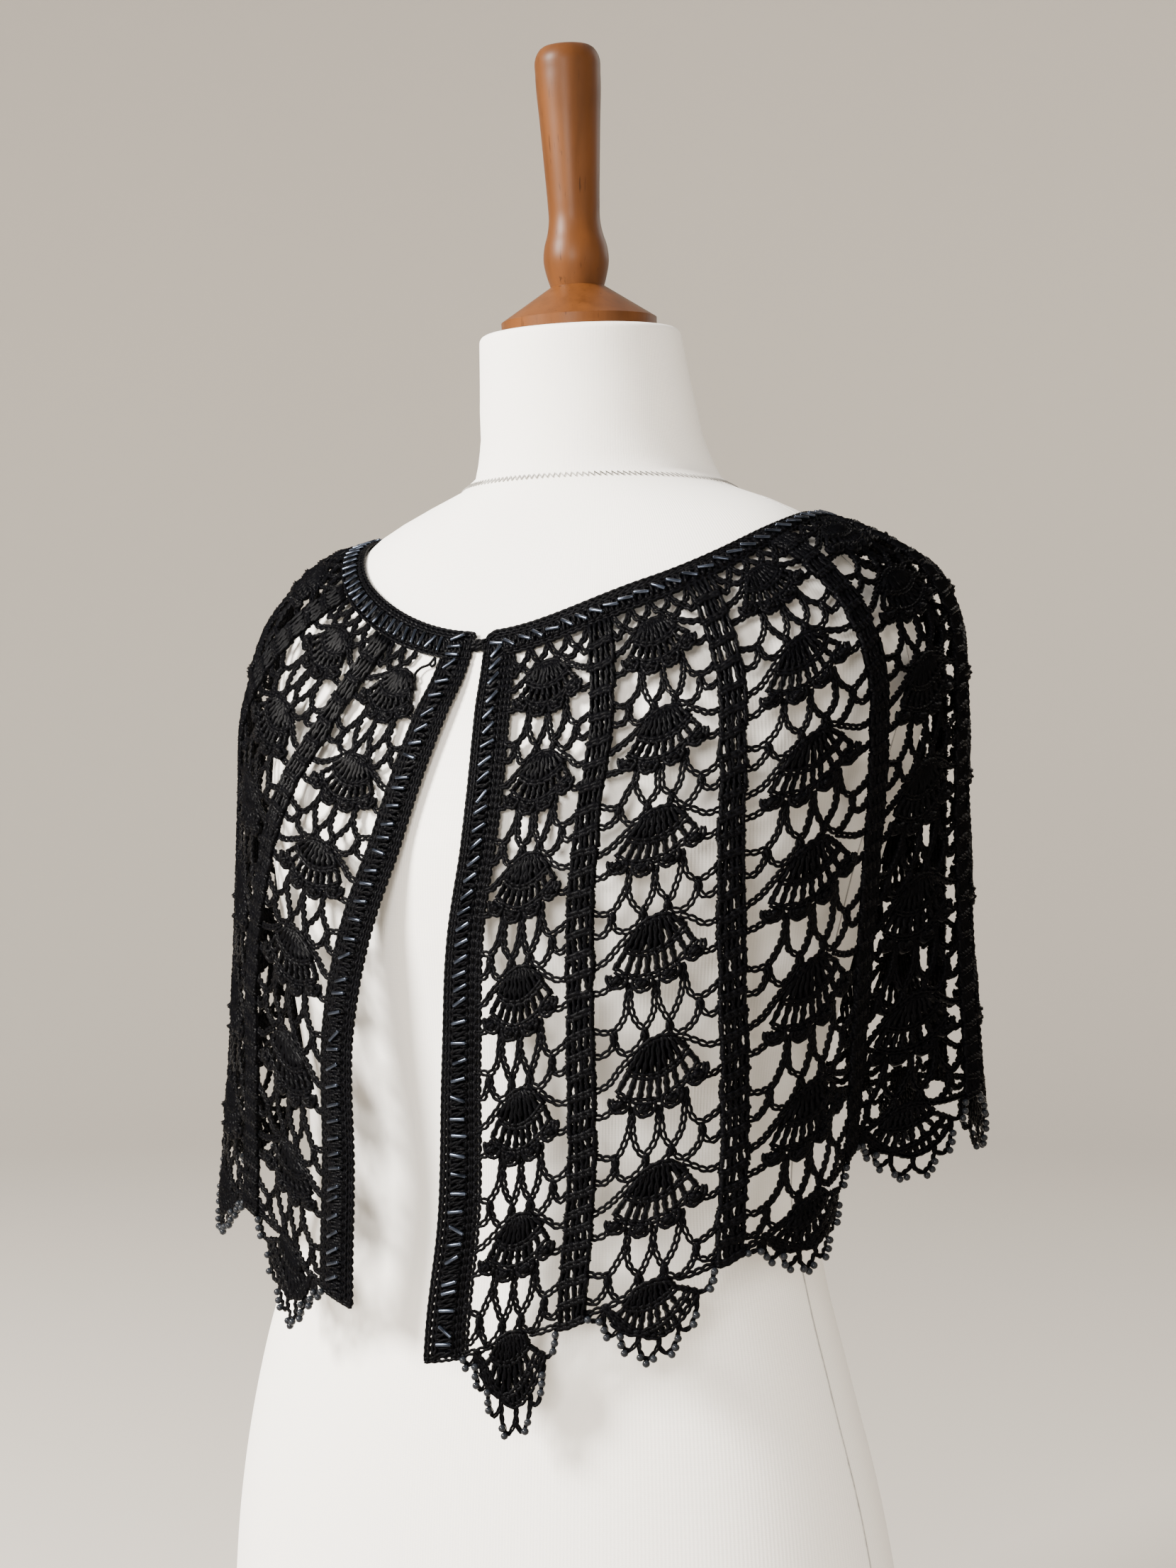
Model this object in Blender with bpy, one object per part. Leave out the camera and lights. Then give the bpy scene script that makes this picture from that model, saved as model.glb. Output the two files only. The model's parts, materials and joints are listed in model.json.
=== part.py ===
"""Crochet lace cape with beaded borders, worn on a jersey-covered dress form.

Metres, +Z up. The front faces -Y and the wearer's left is +X. The origin is the
centre of the stand's underside, on the floor.

The cape is one curved surface, cape_point(side, share): side runs from 0 at the
centre front to 1 at the centre back on the wearer's left, and to -1 on the
wearer's right; share runs from 0 at the neckline to 1 at the foot of the ribs.
"""
import math

import bpy
import numpy as np
from mathutils import Matrix, Vector
from mathutils.geometry import delaunay_2d_cdt

# Cloth: thickness of the lace, of the worked borders, and the height of a rib
SEAM = 0.0003
LACE_WALL = 0.0020
BORDER_WALL = 0.0026
RIB_RAISE = 0.0010
CAPE_LENGTH = 0.360
SCALLOP_SHARE = 0.105
SCALLOP_LEAN = 0.24
NECK_BORDER_SHARE = 0.036
LINK_SHARE = 0.018
LINK_HEIGHT = 0.0050
LINK_DEPTH = 0.0020

# Pattern: lace panels and ribs on each side of the centre back rib
PANELS_PER_SIDE = 7
FIRST_PANEL = 0.78
RIB_NECK_WIDTH = 0.0125
RIB_HEM_WIDTH = 0.0150
RIB_SPAN = 0.40
RIB_CROWNS = (0.10, 0.30)
BORDER_TOP_WIDTH = 0.0160
BORDER_HEM_WIDTH = 0.0210

# Shell tops down a panel, as shares of the length; the last one is the hem fan
SHELL_TOPS = (0.062, 0.168, 0.298, 0.450, 0.620, 0.802, 0.985)
WIDE_ROWS = (3, 4, 5)

# Gaps of one repeat: across from the panel's middle (1 = rib), down from a shell's top
SIDE_GAP = ((0.94, 0.50), (0.74, 0.47), (0.53, 0.61), (0.62, 0.73), (0.76, 0.79), (0.94, 0.75))
DIAMOND_GAP = ((0.46, 0.67), (0.29, 0.80), (0.25, 0.92), (0.45, 1.00), (0.63, 0.92), (0.60, 0.78))
HEM_GAP = ((0.94, 0.92), (0.76, 0.89), (0.54, 0.97), (0.60, 1.05), (0.76, 1.08), (0.94, 1.02))
TORN_GAP = ((-0.96, 0.045), (-0.52, 0.045), (-0.34, 0.075), (-0.38, 0.105), (-0.62, 0.118), (-0.96, 0.112))

# Rows of points down a panel, closer together where the cloth turns over the shoulder
PANEL_ROWS = (0.100, 0.155, 0.205, 0.255, 0.315, 0.400, 0.520, 0.660, 0.820)
SCALLOP_POINTS = 8
TOP_PLACES = (-0.5, 0.0, 0.5)

# Cape outline at each level. middle is where it is widest, front and back are
# distances from the centre line, the heights are read at five places from the centre
# front round to the centre back, and the corners say how square the outline is at the
# left front, right front and back
CAPE_LEVELS = {
    "share":        (0.00, 0.08, 0.17, 0.26, 0.37, 0.55, 0.77, 1.00, 1.11),
    "half_width":   (0.125, 0.150, 0.176, 0.191, 0.195, 0.194, 0.194, 0.197, 0.197),
    "middle":       (-0.010, -0.012, -0.011, -0.008, -0.003, 0.000, 0.000, 0.000, 0.000),
    "front":        (0.107, 0.122, 0.138, 0.153, 0.163, 0.171, 0.176, 0.178, 0.178),
    "back":         (0.079, 0.097, 0.110, 0.120, 0.127, 0.132, 0.138, 0.145, 0.149),
    "z_front":      (0.6505, 0.618, 0.580, 0.546, 0.506, 0.444, 0.372, 0.302, 0.246),
    "z_chest":      (0.674, 0.647, 0.612, 0.581, 0.546, 0.487, 0.416, 0.350, 0.317),
    "z_side":       (0.7085, 0.699, 0.678, 0.650, 0.612, 0.552, 0.480, 0.412, 0.377),
    "z_blade":      (0.7145, 0.701, 0.690, 0.672, 0.640, 0.580, 0.498, 0.415, 0.378),
    "z_back":       (0.724, 0.700, 0.671, 0.641, 0.605, 0.544, 0.466, 0.387, 0.352),
    "left_corner":  (3.00, 3.00, 2.80, 2.50, 2.40, 2.35, 2.20, 2.10, 2.05),
    "right_corner": (2.15, 2.50, 2.60, 2.35, 2.20, 2.20, 2.15, 2.10, 2.10),
    "back_corner":  (2.25, 2.50, 2.90, 2.80, 2.70, 2.70, 2.70, 2.65, 2.60),
}
HEIGHTS = ("z_chest", "z_front", "z_chest", "z_side", "z_blade", "z_back", "z_blade")
HEIGHT_PLACES = (-0.25, 0.0, 0.25, 0.50, 0.75, 1.0, 1.25)

# The two front edges, closed at the neck and hanging apart below it
OPENING = {
    "share":      (0.00, 0.036, 0.06, 0.10, 0.17, 0.26, 0.37, 0.55, 0.77, 1.00, 1.11),
    "left_edge":  (0.0034, 0.0070, 0.0095, 0.0130, 0.0180, 0.0215, 0.0205, 0.0225, 0.0235,
                   0.0165, 0.0145),
    "right_edge": (-0.0014, -0.0006, -0.0004, -0.0025, -0.0070, -0.0128, -0.0225, -0.0310,
                   -0.0262, -0.0255, -0.0250),
}
RIGHT_FRONT_LIFT = 0.0225
RIGHT_FRONT_CREST = 0.7
RIGHT_SHOULDER_LIFT = 0.018
RIGHT_LIFT_PLACE = 0.36
RIGHT_LIFT_SPREAD = 0.12

# How far each rib sits from an even spacing, as a share of the half round: at the
# neck, and from GATHER_SHARE down, where the cloth draws in towards the side folds
GATHER_SHARE = 0.25
LEFT_GATHER = {
    "neck": (0.0, 0.018, 0.002, -0.024, -0.016, -0.005, 0.0, 0.0),
    "hem":  (0.0, -0.016, -0.030, -0.024, -0.010, -0.003, 0.0, 0.0),
}
RIGHT_GATHER = {
    "neck": (0.0, 0.0, 0.012, 0.010, 0.0, 0.0, 0.0, 0.0),
    "hem":  (0.0, -0.022, -0.014, -0.004, 0.0, 0.0, 0.0, 0.0),
}

# Folds of the hanging cloth: place round the cape, spread, depth outward, first share
FOLDS = {
    "place":  (0.12, 0.25, 0.45, 0.60, 0.74, 0.87, 1.00, -0.16, -0.30, -0.46, -0.62, -0.78, -0.90),
    "spread": (0.050, 0.060, 0.070, 0.060, 0.040, 0.045, 0.050, 0.050, 0.060, 0.040, 0.055,
               0.045, 0.040),
    "depth":  (-0.004, 0.004, -0.024, 0.004, -0.012, 0.006, -0.007, -0.005, 0.006, -0.016,
               0.005, -0.010, 0.005),
    "start":  (0.40, 0.45, 0.36, 0.50, 0.42, 0.50, 0.45, 0.40, 0.45, 0.38, 0.50, 0.42, 0.50),
}

# Dress form outline at each height
FORM_SECTIONS = {
    "height":     (0.090, 0.120, 0.160, 0.220, 0.280, 0.330, 0.370, 0.410, 0.460, 0.510,
                   0.545, 0.580, 0.615, 0.640, 0.660, 0.680, 0.697, 0.711, 0.722, 0.7325,
                   0.750, 0.775, 0.8135),
    "half_width": (0.186, 0.190, 0.188, 0.179, 0.164, 0.149, 0.140, 0.141, 0.150, 0.161,
                   0.168, 0.176, 0.183, 0.185, 0.176, 0.159, 0.141, 0.125, 0.102, 0.073,
                   0.062, 0.058, 0.053),
    "front":      (0.151, 0.155, 0.156, 0.155, 0.150, 0.143, 0.138, 0.138, 0.144, 0.151,
                   0.151, 0.141, 0.126, 0.113, 0.102, 0.091, 0.083, 0.076, 0.070, 0.066,
                   0.065, 0.067, 0.072),
    "back":       (0.072, 0.075, 0.073, 0.064, 0.054, 0.050, 0.051, 0.056, 0.070, 0.087,
                   0.099, 0.109, 0.114, 0.114, 0.111, 0.105, 0.098, 0.090, 0.082, 0.072,
                   0.057, 0.045, 0.034),
    "middle":     (-0.039, -0.040, -0.042, -0.045, -0.048, -0.046, -0.044, -0.041, -0.037,
                   -0.032, -0.026, -0.017, -0.010, -0.008, -0.009, -0.010, -0.010, -0.009,
                   -0.005, -0.001, -0.005, -0.011, -0.019),
    "squareness": (2.2, 2.2, 2.2, 2.2, 2.2, 2.2, 2.2, 2.2, 2.2, 2.2, 2.25, 2.3, 2.35, 2.4,
                   2.4, 2.35, 2.2, 2.05, 2.0, 2.0, 2.0, 2.0, 2.0),
}
FORM_SIDES = 40
FORM_RINGS = (0.0900, 0.096, 0.130, 0.175, 0.230, 0.285, 0.330, 0.375, 0.420, 0.470, 0.515,
              0.550, 0.580, 0.606, 0.628, 0.645, 0.659, 0.671, 0.682, 0.692, 0.702, 0.711,
              0.720, 0.7325, 0.748, 0.775, 0.8105)
FORM_EDGE_ROUND = 0.003
NECK_BASE = 0.7325
NECK_TOP = 0.8135
NECK_LEAN = math.radians(4.8)
NECK_TOP_Y = -0.019
BORDER_CLEARANCE = 0.0006
LACE_CLEARANCE = 0.0036
CLEARANCE_BLEND = 0.0012

# Turned wood neck finial: radius and height up its axis
FINIAL_PROFILE = ((0.0410, 0.0000), (0.0412, 0.0062), (0.0142, 0.0240), (0.0157, 0.0290),
                  (0.0173, 0.0375), (0.0166, 0.0450), (0.0146, 0.0520), (0.0136, 0.0585),
                  (0.0138, 0.0680), (0.0148, 0.0880), (0.0160, 0.1100), (0.0172, 0.1340),
                  (0.0168, 0.1430), (0.0140, 0.1475), (0.0060, 0.1492))
FINIAL_SIDES = 24

# Stand under the form
BASE_PROFILE = ((0.138, 0.000), (0.140, 0.003), (0.139, 0.011), (0.130, 0.016), (0.024, 0.018))
POLE_RADIUS = 0.0125
POLE_SIDES = 16
BASE_SIDES = 32
FORM_BOTTOM = 0.090

COLOURS = {
    "black cotton": ((0.012, 0.012, 0.015), 0.45, 0.0),
    "cream jersey": ((0.80, 0.77, 0.71), 0.85, 0.0),
    "turned wood": ((0.30, 0.14, 0.05), 0.45, 0.0),
}


def curve(keys, values, x):
    """Read a smooth curve through key and value pairs at x."""
    keys = np.asarray(keys, dtype=float)
    values = np.asarray(values, dtype=float)
    slopes = np.gradient(values, keys)
    x = np.clip(x, keys[0], keys[-1])
    row = np.clip(np.searchsorted(keys, x, side="right") - 1, 0, len(keys) - 2)
    step = keys[row + 1] - keys[row]
    u = (x - keys[row]) / step
    rise = u * u * (3 - 2 * u)
    lead = u * (1 - u) ** 2 * step * slopes[row]
    trail = u * u * (u - 1) * step * slopes[row + 1]
    return values[row] * (1 - rise) + values[row + 1] * rise + lead + trail


def smooth(table, column, key_column, x):
    """Read a column of a table at x, on a smooth curve through its rows."""
    return curve(table[key_column], table[column], x)


def form_section(height):
    """Half width, middle, front, back and squareness of the form at a height."""
    names = ("half_width", "middle", "front", "back", "squareness")
    return [smooth(FORM_SECTIONS, name, "height", height) for name in names]


def rest_on_form(x, y, z, clearance):
    """Push a point of the cloth outward until it clears the form."""
    half_width, middle, front, back, squareness = form_section(z)
    half_depth = np.where(y < middle, front + middle, back - middle)
    reach = np.hypot(x, y - middle)
    ratio = (np.abs(x / half_width) ** squareness
             + np.abs((y - middle) / half_depth) ** squareness) ** (1 / squareness)
    wanted = reach / ratio + clearance
    excess = (reach - wanted) / CLEARANCE_BLEND
    softened = wanted + CLEARANCE_BLEND * np.logaddexp(0.0, excess)
    grow = softened / reach
    return x * grow, middle + (y - middle) * grow


LEVEL_CACHE = {}
LEVEL_SAMPLES = 721


def level(share, hand):
    """Half of the cape's outline at one share of its length, by distance round it."""
    key = (round(float(share), 6), hand)
    if key in LEVEL_CACHE:
        return LEVEL_CACHE[key]
    row = {name: float(smooth(CAPE_LEVELS, name, "share", key[0])) for name in CAPE_LEVELS}
    angle = np.linspace(0.0, math.pi, LEVEL_SAMPLES)
    front_corner = row["left_corner"] if hand > 0 else row["right_corner"]
    power = 2 / np.where(angle <= math.pi / 2, front_corner, row["back_corner"])
    across = np.abs(np.sin(angle)) ** power
    along = np.sign(np.cos(angle)) * np.abs(np.cos(angle)) ** power
    x = row["half_width"] * across
    middle = row["middle"]
    y = middle - np.where(along > 0, row["front"] + middle, row["back"] - middle) * along
    run = np.concatenate(([0.0], np.cumsum(np.hypot(np.diff(x), np.diff(y)))))
    side = run / run[-1]
    z = curve(HEIGHT_PLACES, [row[name] for name in HEIGHTS], side)
    outward_x = np.gradient(y, run)
    outward_y = -np.gradient(x, run)
    LEVEL_CACHE[key] = (side, x, y, z, outward_x, outward_y, run[-1])
    return LEVEL_CACHE[key]


def half_round(share, hand=1):
    """Distance round half of the cape at a share of its length."""
    return level(share, hand)[6]


def fold_depth(side, share):
    """How far a fold pushes the cloth out at a place on the cape."""
    depth = 0.0
    for place, spread, fold, start in zip(*(FOLDS[name] for name in FOLDS)):
        away = (side - place + 1) % 2 - 1
        grown = min(max((share - start) / (1 - start), 0.0), 1.15)
        depth += fold * math.exp(-(away / spread) ** 2) * grown ** 1.3
    return depth


def shoulder_lift(around, share):
    """How much higher the right shoulder carries the cloth."""
    down = float(curve((0.0, 0.12, 0.25, 0.50, 1.20), (0.4, 1.0, 0.8, 0.0, 0.0), share))
    spread = math.exp(-((around - RIGHT_LIFT_PLACE) / RIGHT_LIFT_SPREAD) ** 2)
    return RIGHT_SHOULDER_LIFT * down * spread


def front_lift(around, share):
    """How much higher the right front hangs, most a little way in from its edge."""
    spread = max(0.0, math.cos(math.pi * around)) ** 2
    crest = 1 + RIGHT_FRONT_CREST * math.sin(2 * math.pi * around) ** 2
    return RIGHT_FRONT_LIFT * max(0.0, share - 0.2) * spread * crest


def cape_point(side, share):
    """A point on the cape's inner face."""
    side = (side + 1) % 2 - 1
    sign = 1 if side >= 0 else -1
    sides, xs, ys, zs, outward_x, outward_y, _ = level(share, sign)
    around = abs(side)
    x, y, z, nx, ny = (float(np.interp(around, sides, row))
                       for row in (xs, ys, zs, outward_x, outward_y))
    push = fold_depth(side, share)
    x = (x + nx * push) * sign
    y = y + ny * push
    if side < 0:
        z += front_lift(around, share) + shoulder_lift(around, share)
    blend = min(max((share - NECK_BORDER_SHARE) / 0.06, 0.0), 1.0)
    clearance = BORDER_CLEARANCE + (LACE_CLEARANCE - BORDER_CLEARANCE) * blend
    x, y = rest_on_form(x, y, z, clearance)
    return Vector((float(x), float(y), z))


def cape_normal(side, share):
    """The direction that faces out of the cloth at a place."""
    step_side, step_share = 0.004, 0.006
    across = cape_point(side + step_side, share) - cape_point(side - step_side, share)
    down = cape_point(side, share + step_share) - cape_point(side, max(share - step_share, 0.0))
    return across.cross(down).normalized() * -1.0


def outer_point(side, share, thickness):
    """A point raised off the cape's inner face."""
    return cape_point(side, share) + cape_normal(side, share) * thickness


def opening_edge(hand, share):
    """Place round the cape of a front edge; hand is 1 on the wearer's left."""
    name = "left_edge" if hand > 0 else "right_edge"
    return float(smooth(OPENING, name, "share", share)) / half_round(share, hand)


def border_width(share):
    """Width of a front border."""
    return BORDER_TOP_WIDTH + (BORDER_HEM_WIDTH - BORDER_TOP_WIDTH) * min(share, 1.0)


def panel_start(hand, share):
    """Place where the first panel of a side begins, past its front border."""
    inward = (border_width(share) + SEAM) / half_round(share, hand)
    return opening_edge(hand, share) + hand * inward


def rib_centre(hand, number, share):
    """Place of a rib's middle; the last rib is the centre back."""
    first = panel_start(hand, share)
    units = PANELS_PER_SIDE - 1 + FIRST_PANEL
    even = first + (hand - first) * (number - 1 + FIRST_PANEL) / units
    gather = LEFT_GATHER if hand > 0 else RIGHT_GATHER
    blend = min(share / GATHER_SHARE, 1.0)
    return even + gather["neck"][number] * (1 - blend) + gather["hem"][number] * blend


def rib_half(share, hand):
    """Half of a rib's width, as a distance round the cape."""
    width = RIB_NECK_WIDTH + (RIB_HEM_WIDTH - RIB_NECK_WIDTH) * min(share, 1.0)
    return width / 2 / half_round(share, hand)


def panel_place(hand, number, across, share):
    """Place of a point of a panel: across is -1 to 1, and past 1 on its rib."""
    half = rib_half(share, hand)
    seam = SEAM / half_round(share, hand)
    if number == 1:
        first = panel_start(hand, share)
    else:
        first = rib_centre(hand, number - 1, share) + hand * (half + seam)
    centre = rib_centre(hand, number, share)
    last = centre - hand * half
    if hand < 0 and number == PANELS_PER_SIDE:
        last = centre - hand * (half + seam)
    if across <= 1:
        return first + (last - first) * (across + 1) / 2
    return last + hand * 2 * half * (across - 1) / RIB_SPAN


def scallop_foot(across):
    """How far down a panel's foot reaches at a point across it, deepest past its middle."""
    place = across - SCALLOP_LEAN * (1 - min(across * across, 1.0))
    return 1 + SCALLOP_SHARE * math.cos(math.pi / 2 * min(abs(place), 1.0)) ** 0.9


def material(name):
    """One plain material of the part."""
    found = bpy.data.materials.get(name)
    if found:
        return found
    colour, roughness, metallic = COLOURS[name]
    made = bpy.data.materials.new(name)
    made.use_nodes = True
    shader = made.node_tree.nodes["Principled BSDF"]
    shader.inputs["Base Color"].default_value = (*colour, 1.0)
    shader.inputs["Roughness"].default_value = roughness
    shader.inputs["Metallic"].default_value = metallic
    return made


def add_object(name, points, faces, finish):
    """Make a named object from its points and faces."""
    mesh = bpy.data.meshes.new(name)
    mesh.from_pydata([tuple(point) for point in points], [], faces)
    mesh.validate()
    mesh.shade_smooth()
    mesh.set_sharp_from_angle(angle=math.radians(40))
    mesh.materials.append(material(finish))
    made = bpy.data.objects.new(name, mesh)
    bpy.context.scene.collection.objects.link(made)
    return made


def inside(point, outline):
    """Whether a flat point lies inside an outline."""
    x, y = point
    found = False
    for (x1, y1), (x2, y2) in zip(outline, outline[1:] + outline[:1]):
        if (y1 > y) != (y2 > y) and x < x1 + (y - y1) / (y2 - y1) * (x2 - x1):
            found = not found
    return found


def repeat_gaps(hand, number):
    """Outlines of a panel's cut gaps, in its own across and share."""
    outlines = []
    for row, (top, foot) in enumerate(zip(SHELL_TOPS[:-1], SHELL_TOPS[1:])):
        shapes = [SIDE_GAP]
        if row in WIDE_ROWS:
            shapes.append(DIAMOND_GAP)
        if row == len(SHELL_TOPS) - 2:
            shapes.append(HEM_GAP)
        for shape in shapes:
            for mirror in (-1, 1):
                outlines.append([(mirror * x, top + y * (foot - top)) for x, y in shape])
    if hand < 0 and number == 1:
        outlines.append([tuple(corner) for corner in TORN_GAP])
    return outlines


def edge_rows():
    """Shares of the points down every seam below the neck border."""
    return (NECK_BORDER_SHARE + SEAM / CAPE_LENGTH,) + PANEL_ROWS + (1.0,)


def panel_outline(with_rib):
    """Outer outline of a panel and its rib, in across and share."""
    rows = edge_rows()
    top = rows[0]
    outline = [(-1.0, row) for row in rows]
    for point in range(1, SCALLOP_POINTS):
        across = -1 + 2 * point / SCALLOP_POINTS
        outline.append((across, scallop_foot(across)))
    if with_rib:
        outline.append((1.0, 1.0))
        outline += [(1 + crown, 1.0) for crown in RIB_CROWNS]
    far = 1 + RIB_SPAN if with_rib else 1.0
    outline += [(far, row) for row in reversed(rows)]
    if with_rib:
        outline += [(1 + crown, top) for crown in reversed(RIB_CROWNS)]
        outline.append((1.0, top))
    outline += [(across, top) for across in reversed(TOP_PLACES)]
    return outline, rows


def flat_mesh(outline, gaps, lines):
    """Triangles that fill an outline, around its gaps and along its lines."""
    points = []
    edges = []
    for loop in [outline] + gaps:
        first = len(points)
        points += loop
        edges += [(first + i, first + (i + 1) % len(loop)) for i in range(len(loop))]
    for line in lines:
        first = len(points)
        points += line
        edges += [(first + i, first + i + 1) for i in range(len(line) - 1)]
    stretch = 4.0
    flat = [Vector((x, y * stretch)) for x, y in points]
    found, _, triangles, _, _, _ = delaunay_2d_cdt(flat, edges, [], 0, 1e-6)
    placed = [(point.x, point.y / stretch) for point in found]
    kept = []
    for triangle in triangles:
        middle = tuple(sum(placed[i][axis] for i in triangle) / 3 for axis in (0, 1))
        if inside(middle, outline) and not any(inside(middle, gap) for gap in gaps):
            kept.append(tuple(triangle))
    return placed, kept


def closed_wall(inner, outer, triangles, flip):
    """Points and faces of a wall: an inner face, an outer face and its edges."""
    count = len(inner)
    faces = []
    borders = {}
    for a, b, c in triangles:
        faces.append((a, c, b) if flip else (a, b, c))
        faces.append((a + count, b + count, c + count) if flip else (a + count, c + count, b + count))
        for start, end in ((a, b), (b, c), (c, a)):
            if (end, start) in borders:
                del borders[(end, start)]
            else:
                borders[(start, end)] = True
    for start, end in borders:
        wall = (start, end, end + count, start + count)
        faces.append(wall if flip else tuple(reversed(wall)))
    used = sorted({i for face in faces for i in face})
    renumber = {old: new for new, old in enumerate(used)}
    points = inner + outer
    return [points[i] for i in used], [tuple(renumber[i] for i in face) for face in faces]


def make_panel(hand, number):
    """One lace panel with the rib past it, its gaps cut through."""
    with_rib = not (hand < 0 and number == PANELS_PER_SIDE)
    outline, rows = panel_outline(with_rib)
    lines = []
    if with_rib:
        lines.append([(1.0, row) for row in rows])
        lines += [[(1 + crown, row) for row in rows] for crown in RIB_CROWNS]
    placed, triangles = flat_mesh(outline, repeat_gaps(hand, number), lines)
    inner, outer = [], []
    for across, share in placed:
        side = panel_place(hand, number, across, share)
        on_crown = 1.01 < across < 1 + RIB_SPAN - 0.01
        thickness = LACE_WALL + (RIB_RAISE if on_crown else 0.0)
        inner.append(cape_point(side, share))
        outer.append(outer_point(side, share, thickness))
    points, faces = closed_wall(inner, outer, triangles, hand < 0)
    name = f"lace_panel_{'left' if hand > 0 else 'right'}_{number}"
    return add_object(name, points, faces, "black cotton")


def make_strip(name, grid, thickness, flip):
    """A worked border from a grid of places and shares."""
    across = len(grid[0])
    inner = [cape_point(side, share) for row in grid for side, share in row]
    outer = [outer_point(side, share, thickness) for row in grid for side, share in row]
    triangles = []
    for i in range(len(grid) - 1):
        for j in range(across - 1):
            corner = i * across + j
            triangles.append((corner, corner + 1, corner + across + 1))
            triangles.append((corner, corner + across + 1, corner + across))
    points, faces = closed_wall(inner, outer, triangles, flip)
    return add_object(name, points, faces, "black cotton")


def border_places(hand, share):
    """Places across a front border, from the opening inward."""
    edge = opening_edge(hand, share)
    wide = border_width(share) / half_round(share, hand)
    return [edge + hand * wide * step for step in (0.0, 0.5, 1.0)]


def make_front_border(hand):
    """The solid worked border down one front edge."""
    grid = [[(side, share) for side in border_places(hand, share)] for share in edge_rows()]
    name = f"front_border_{'left' if hand > 0 else 'right'}"
    return make_strip(name, grid, BORDER_WALL, hand < 0)


def neck_places(hand, share):
    """Places along half of the neckline, over each seam and panel point below it."""
    places = border_places(hand, share)
    for number in range(1, PANELS_PER_SIDE + 1):
        across = TOP_PLACES + (1.0, 1 + RIB_SPAN)
        if number == PANELS_PER_SIDE:
            across = TOP_PLACES + (1.0,)
        places += [panel_place(hand, number, step, share) for step in across]
    return places


def make_neck_border():
    """The solid worked border round the neckline."""
    grid = []
    for share in (0.0, NECK_BORDER_SHARE / 2, NECK_BORDER_SHARE):
        right = [side + 2 for side in reversed(neck_places(-1, share))]
        grid.append([(side, share) for side in neck_places(1, share) + right])
    return make_strip("neck_border", grid, BORDER_WALL, False)


def link_end(hand, share):
    """Place of a link's end, just clear of the neck border's straight-sided end."""
    rows = (0.0, NECK_BORDER_SHARE / 2, NECK_BORDER_SHARE)
    edge = float(np.interp(share, rows, [opening_edge(hand, row) for row in rows]))
    return edge - hand * SEAM / half_round(share, hand)


def make_neck_link():
    """The thread link that closes the cape at the neck."""
    half = LINK_HEIGHT / 2 / CAPE_LENGTH
    grid = []
    for share in (LINK_SHARE - half, LINK_SHARE, LINK_SHARE + half):
        left = link_end(1, share)
        right = link_end(-1, share)
        grid.append([(side, share) for side in (right, (left + right) / 2, left)])
    return make_strip("neck_link", grid, LINK_DEPTH, False)


def form_ring(height, shrink):
    """One ring of the form, leaned with the neck above its base."""
    half_width, middle, front, back, squareness = form_section(height)
    rise = min(max((height - NECK_BASE) / (NECK_TOP - NECK_BASE), 0.0), 1.0)
    ring = []
    for step in range(FORM_SIDES):
        angle = 2 * math.pi * step / FORM_SIDES
        power = 2 / squareness
        across = math.copysign(abs(math.sin(angle)) ** power, math.sin(angle))
        along = math.copysign(abs(math.cos(angle)) ** power, math.cos(angle))
        half_depth = front + middle if along > 0 else back - middle
        x = (half_width - shrink) * across
        y = (half_depth - shrink) * -along
        ring.append((x, y + middle, height + rise * y * math.tan(NECK_LEAN)))
    return ring


def make_form():
    """The jersey-covered torso and neck, one smooth closed body."""
    rings = [form_ring(FORM_RINGS[0], FORM_EDGE_ROUND)]
    rings += [form_ring(height, 0.0) for height in FORM_RINGS[1:]]
    rings.append(form_ring(NECK_TOP, FORM_EDGE_ROUND))
    points = [point for ring in rings for point in ring]
    faces = []
    for level_number in range(len(rings) - 1):
        for step in range(FORM_SIDES):
            after = (step + 1) % FORM_SIDES
            a = level_number * FORM_SIDES + step
            b = level_number * FORM_SIDES + after
            faces.append((a, b, b + FORM_SIDES, a + FORM_SIDES))
    last = (len(rings) - 1) * FORM_SIDES
    faces.append(tuple(reversed(range(FORM_SIDES))))
    faces.append(tuple(range(last, last + FORM_SIDES)))
    return add_object("form_torso", points, faces, "cream jersey")


def make_turned(name, profile, sides, finish):
    """A turned piece from its radius and height pairs, with flat ends."""
    points = []
    for radius, height in profile:
        for step in range(sides):
            angle = 2 * math.pi * step / sides
            points.append((radius * math.cos(angle), radius * math.sin(angle), height))
    faces = []
    for ring in range(len(profile) - 1):
        for step in range(sides):
            after = (step + 1) % sides
            a = ring * sides + step
            b = ring * sides + after
            faces.append((a, b, b + sides, a + sides))
    last = (len(profile) - 1) * sides
    faces.append(tuple(reversed(range(sides))))
    faces.append(tuple(range(last, last + sides)))
    return add_object(name, points, faces, finish)


def make_stand_and_finial():
    """The turned base, its pole, and the finial on the leaning neck."""
    make_turned("stand_base", BASE_PROFILE, BASE_SIDES, "turned wood")
    pole_foot = BASE_PROFILE[-1][1] + SEAM
    pole = ((POLE_RADIUS, pole_foot), (POLE_RADIUS, FORM_BOTTOM - SEAM))
    make_turned("stand_pole", pole, POLE_SIDES, "turned wood")
    finial = make_turned("neck_finial", FINIAL_PROFILE, FINIAL_SIDES, "turned wood")
    seat = Vector((0.0, NECK_TOP_Y, NECK_TOP))
    axis = Vector((0.0, -math.sin(NECK_LEAN), math.cos(NECK_LEAN)))
    turn = Matrix.Rotation(NECK_LEAN, 4, "X")
    finial.matrix_world = Matrix.Translation(seat + axis * SEAM) @ turn


def clear_scene():
    """Remove whatever the scene holds."""
    for thing in list(bpy.data.objects):
        bpy.data.objects.remove(thing, do_unlink=True)


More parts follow.
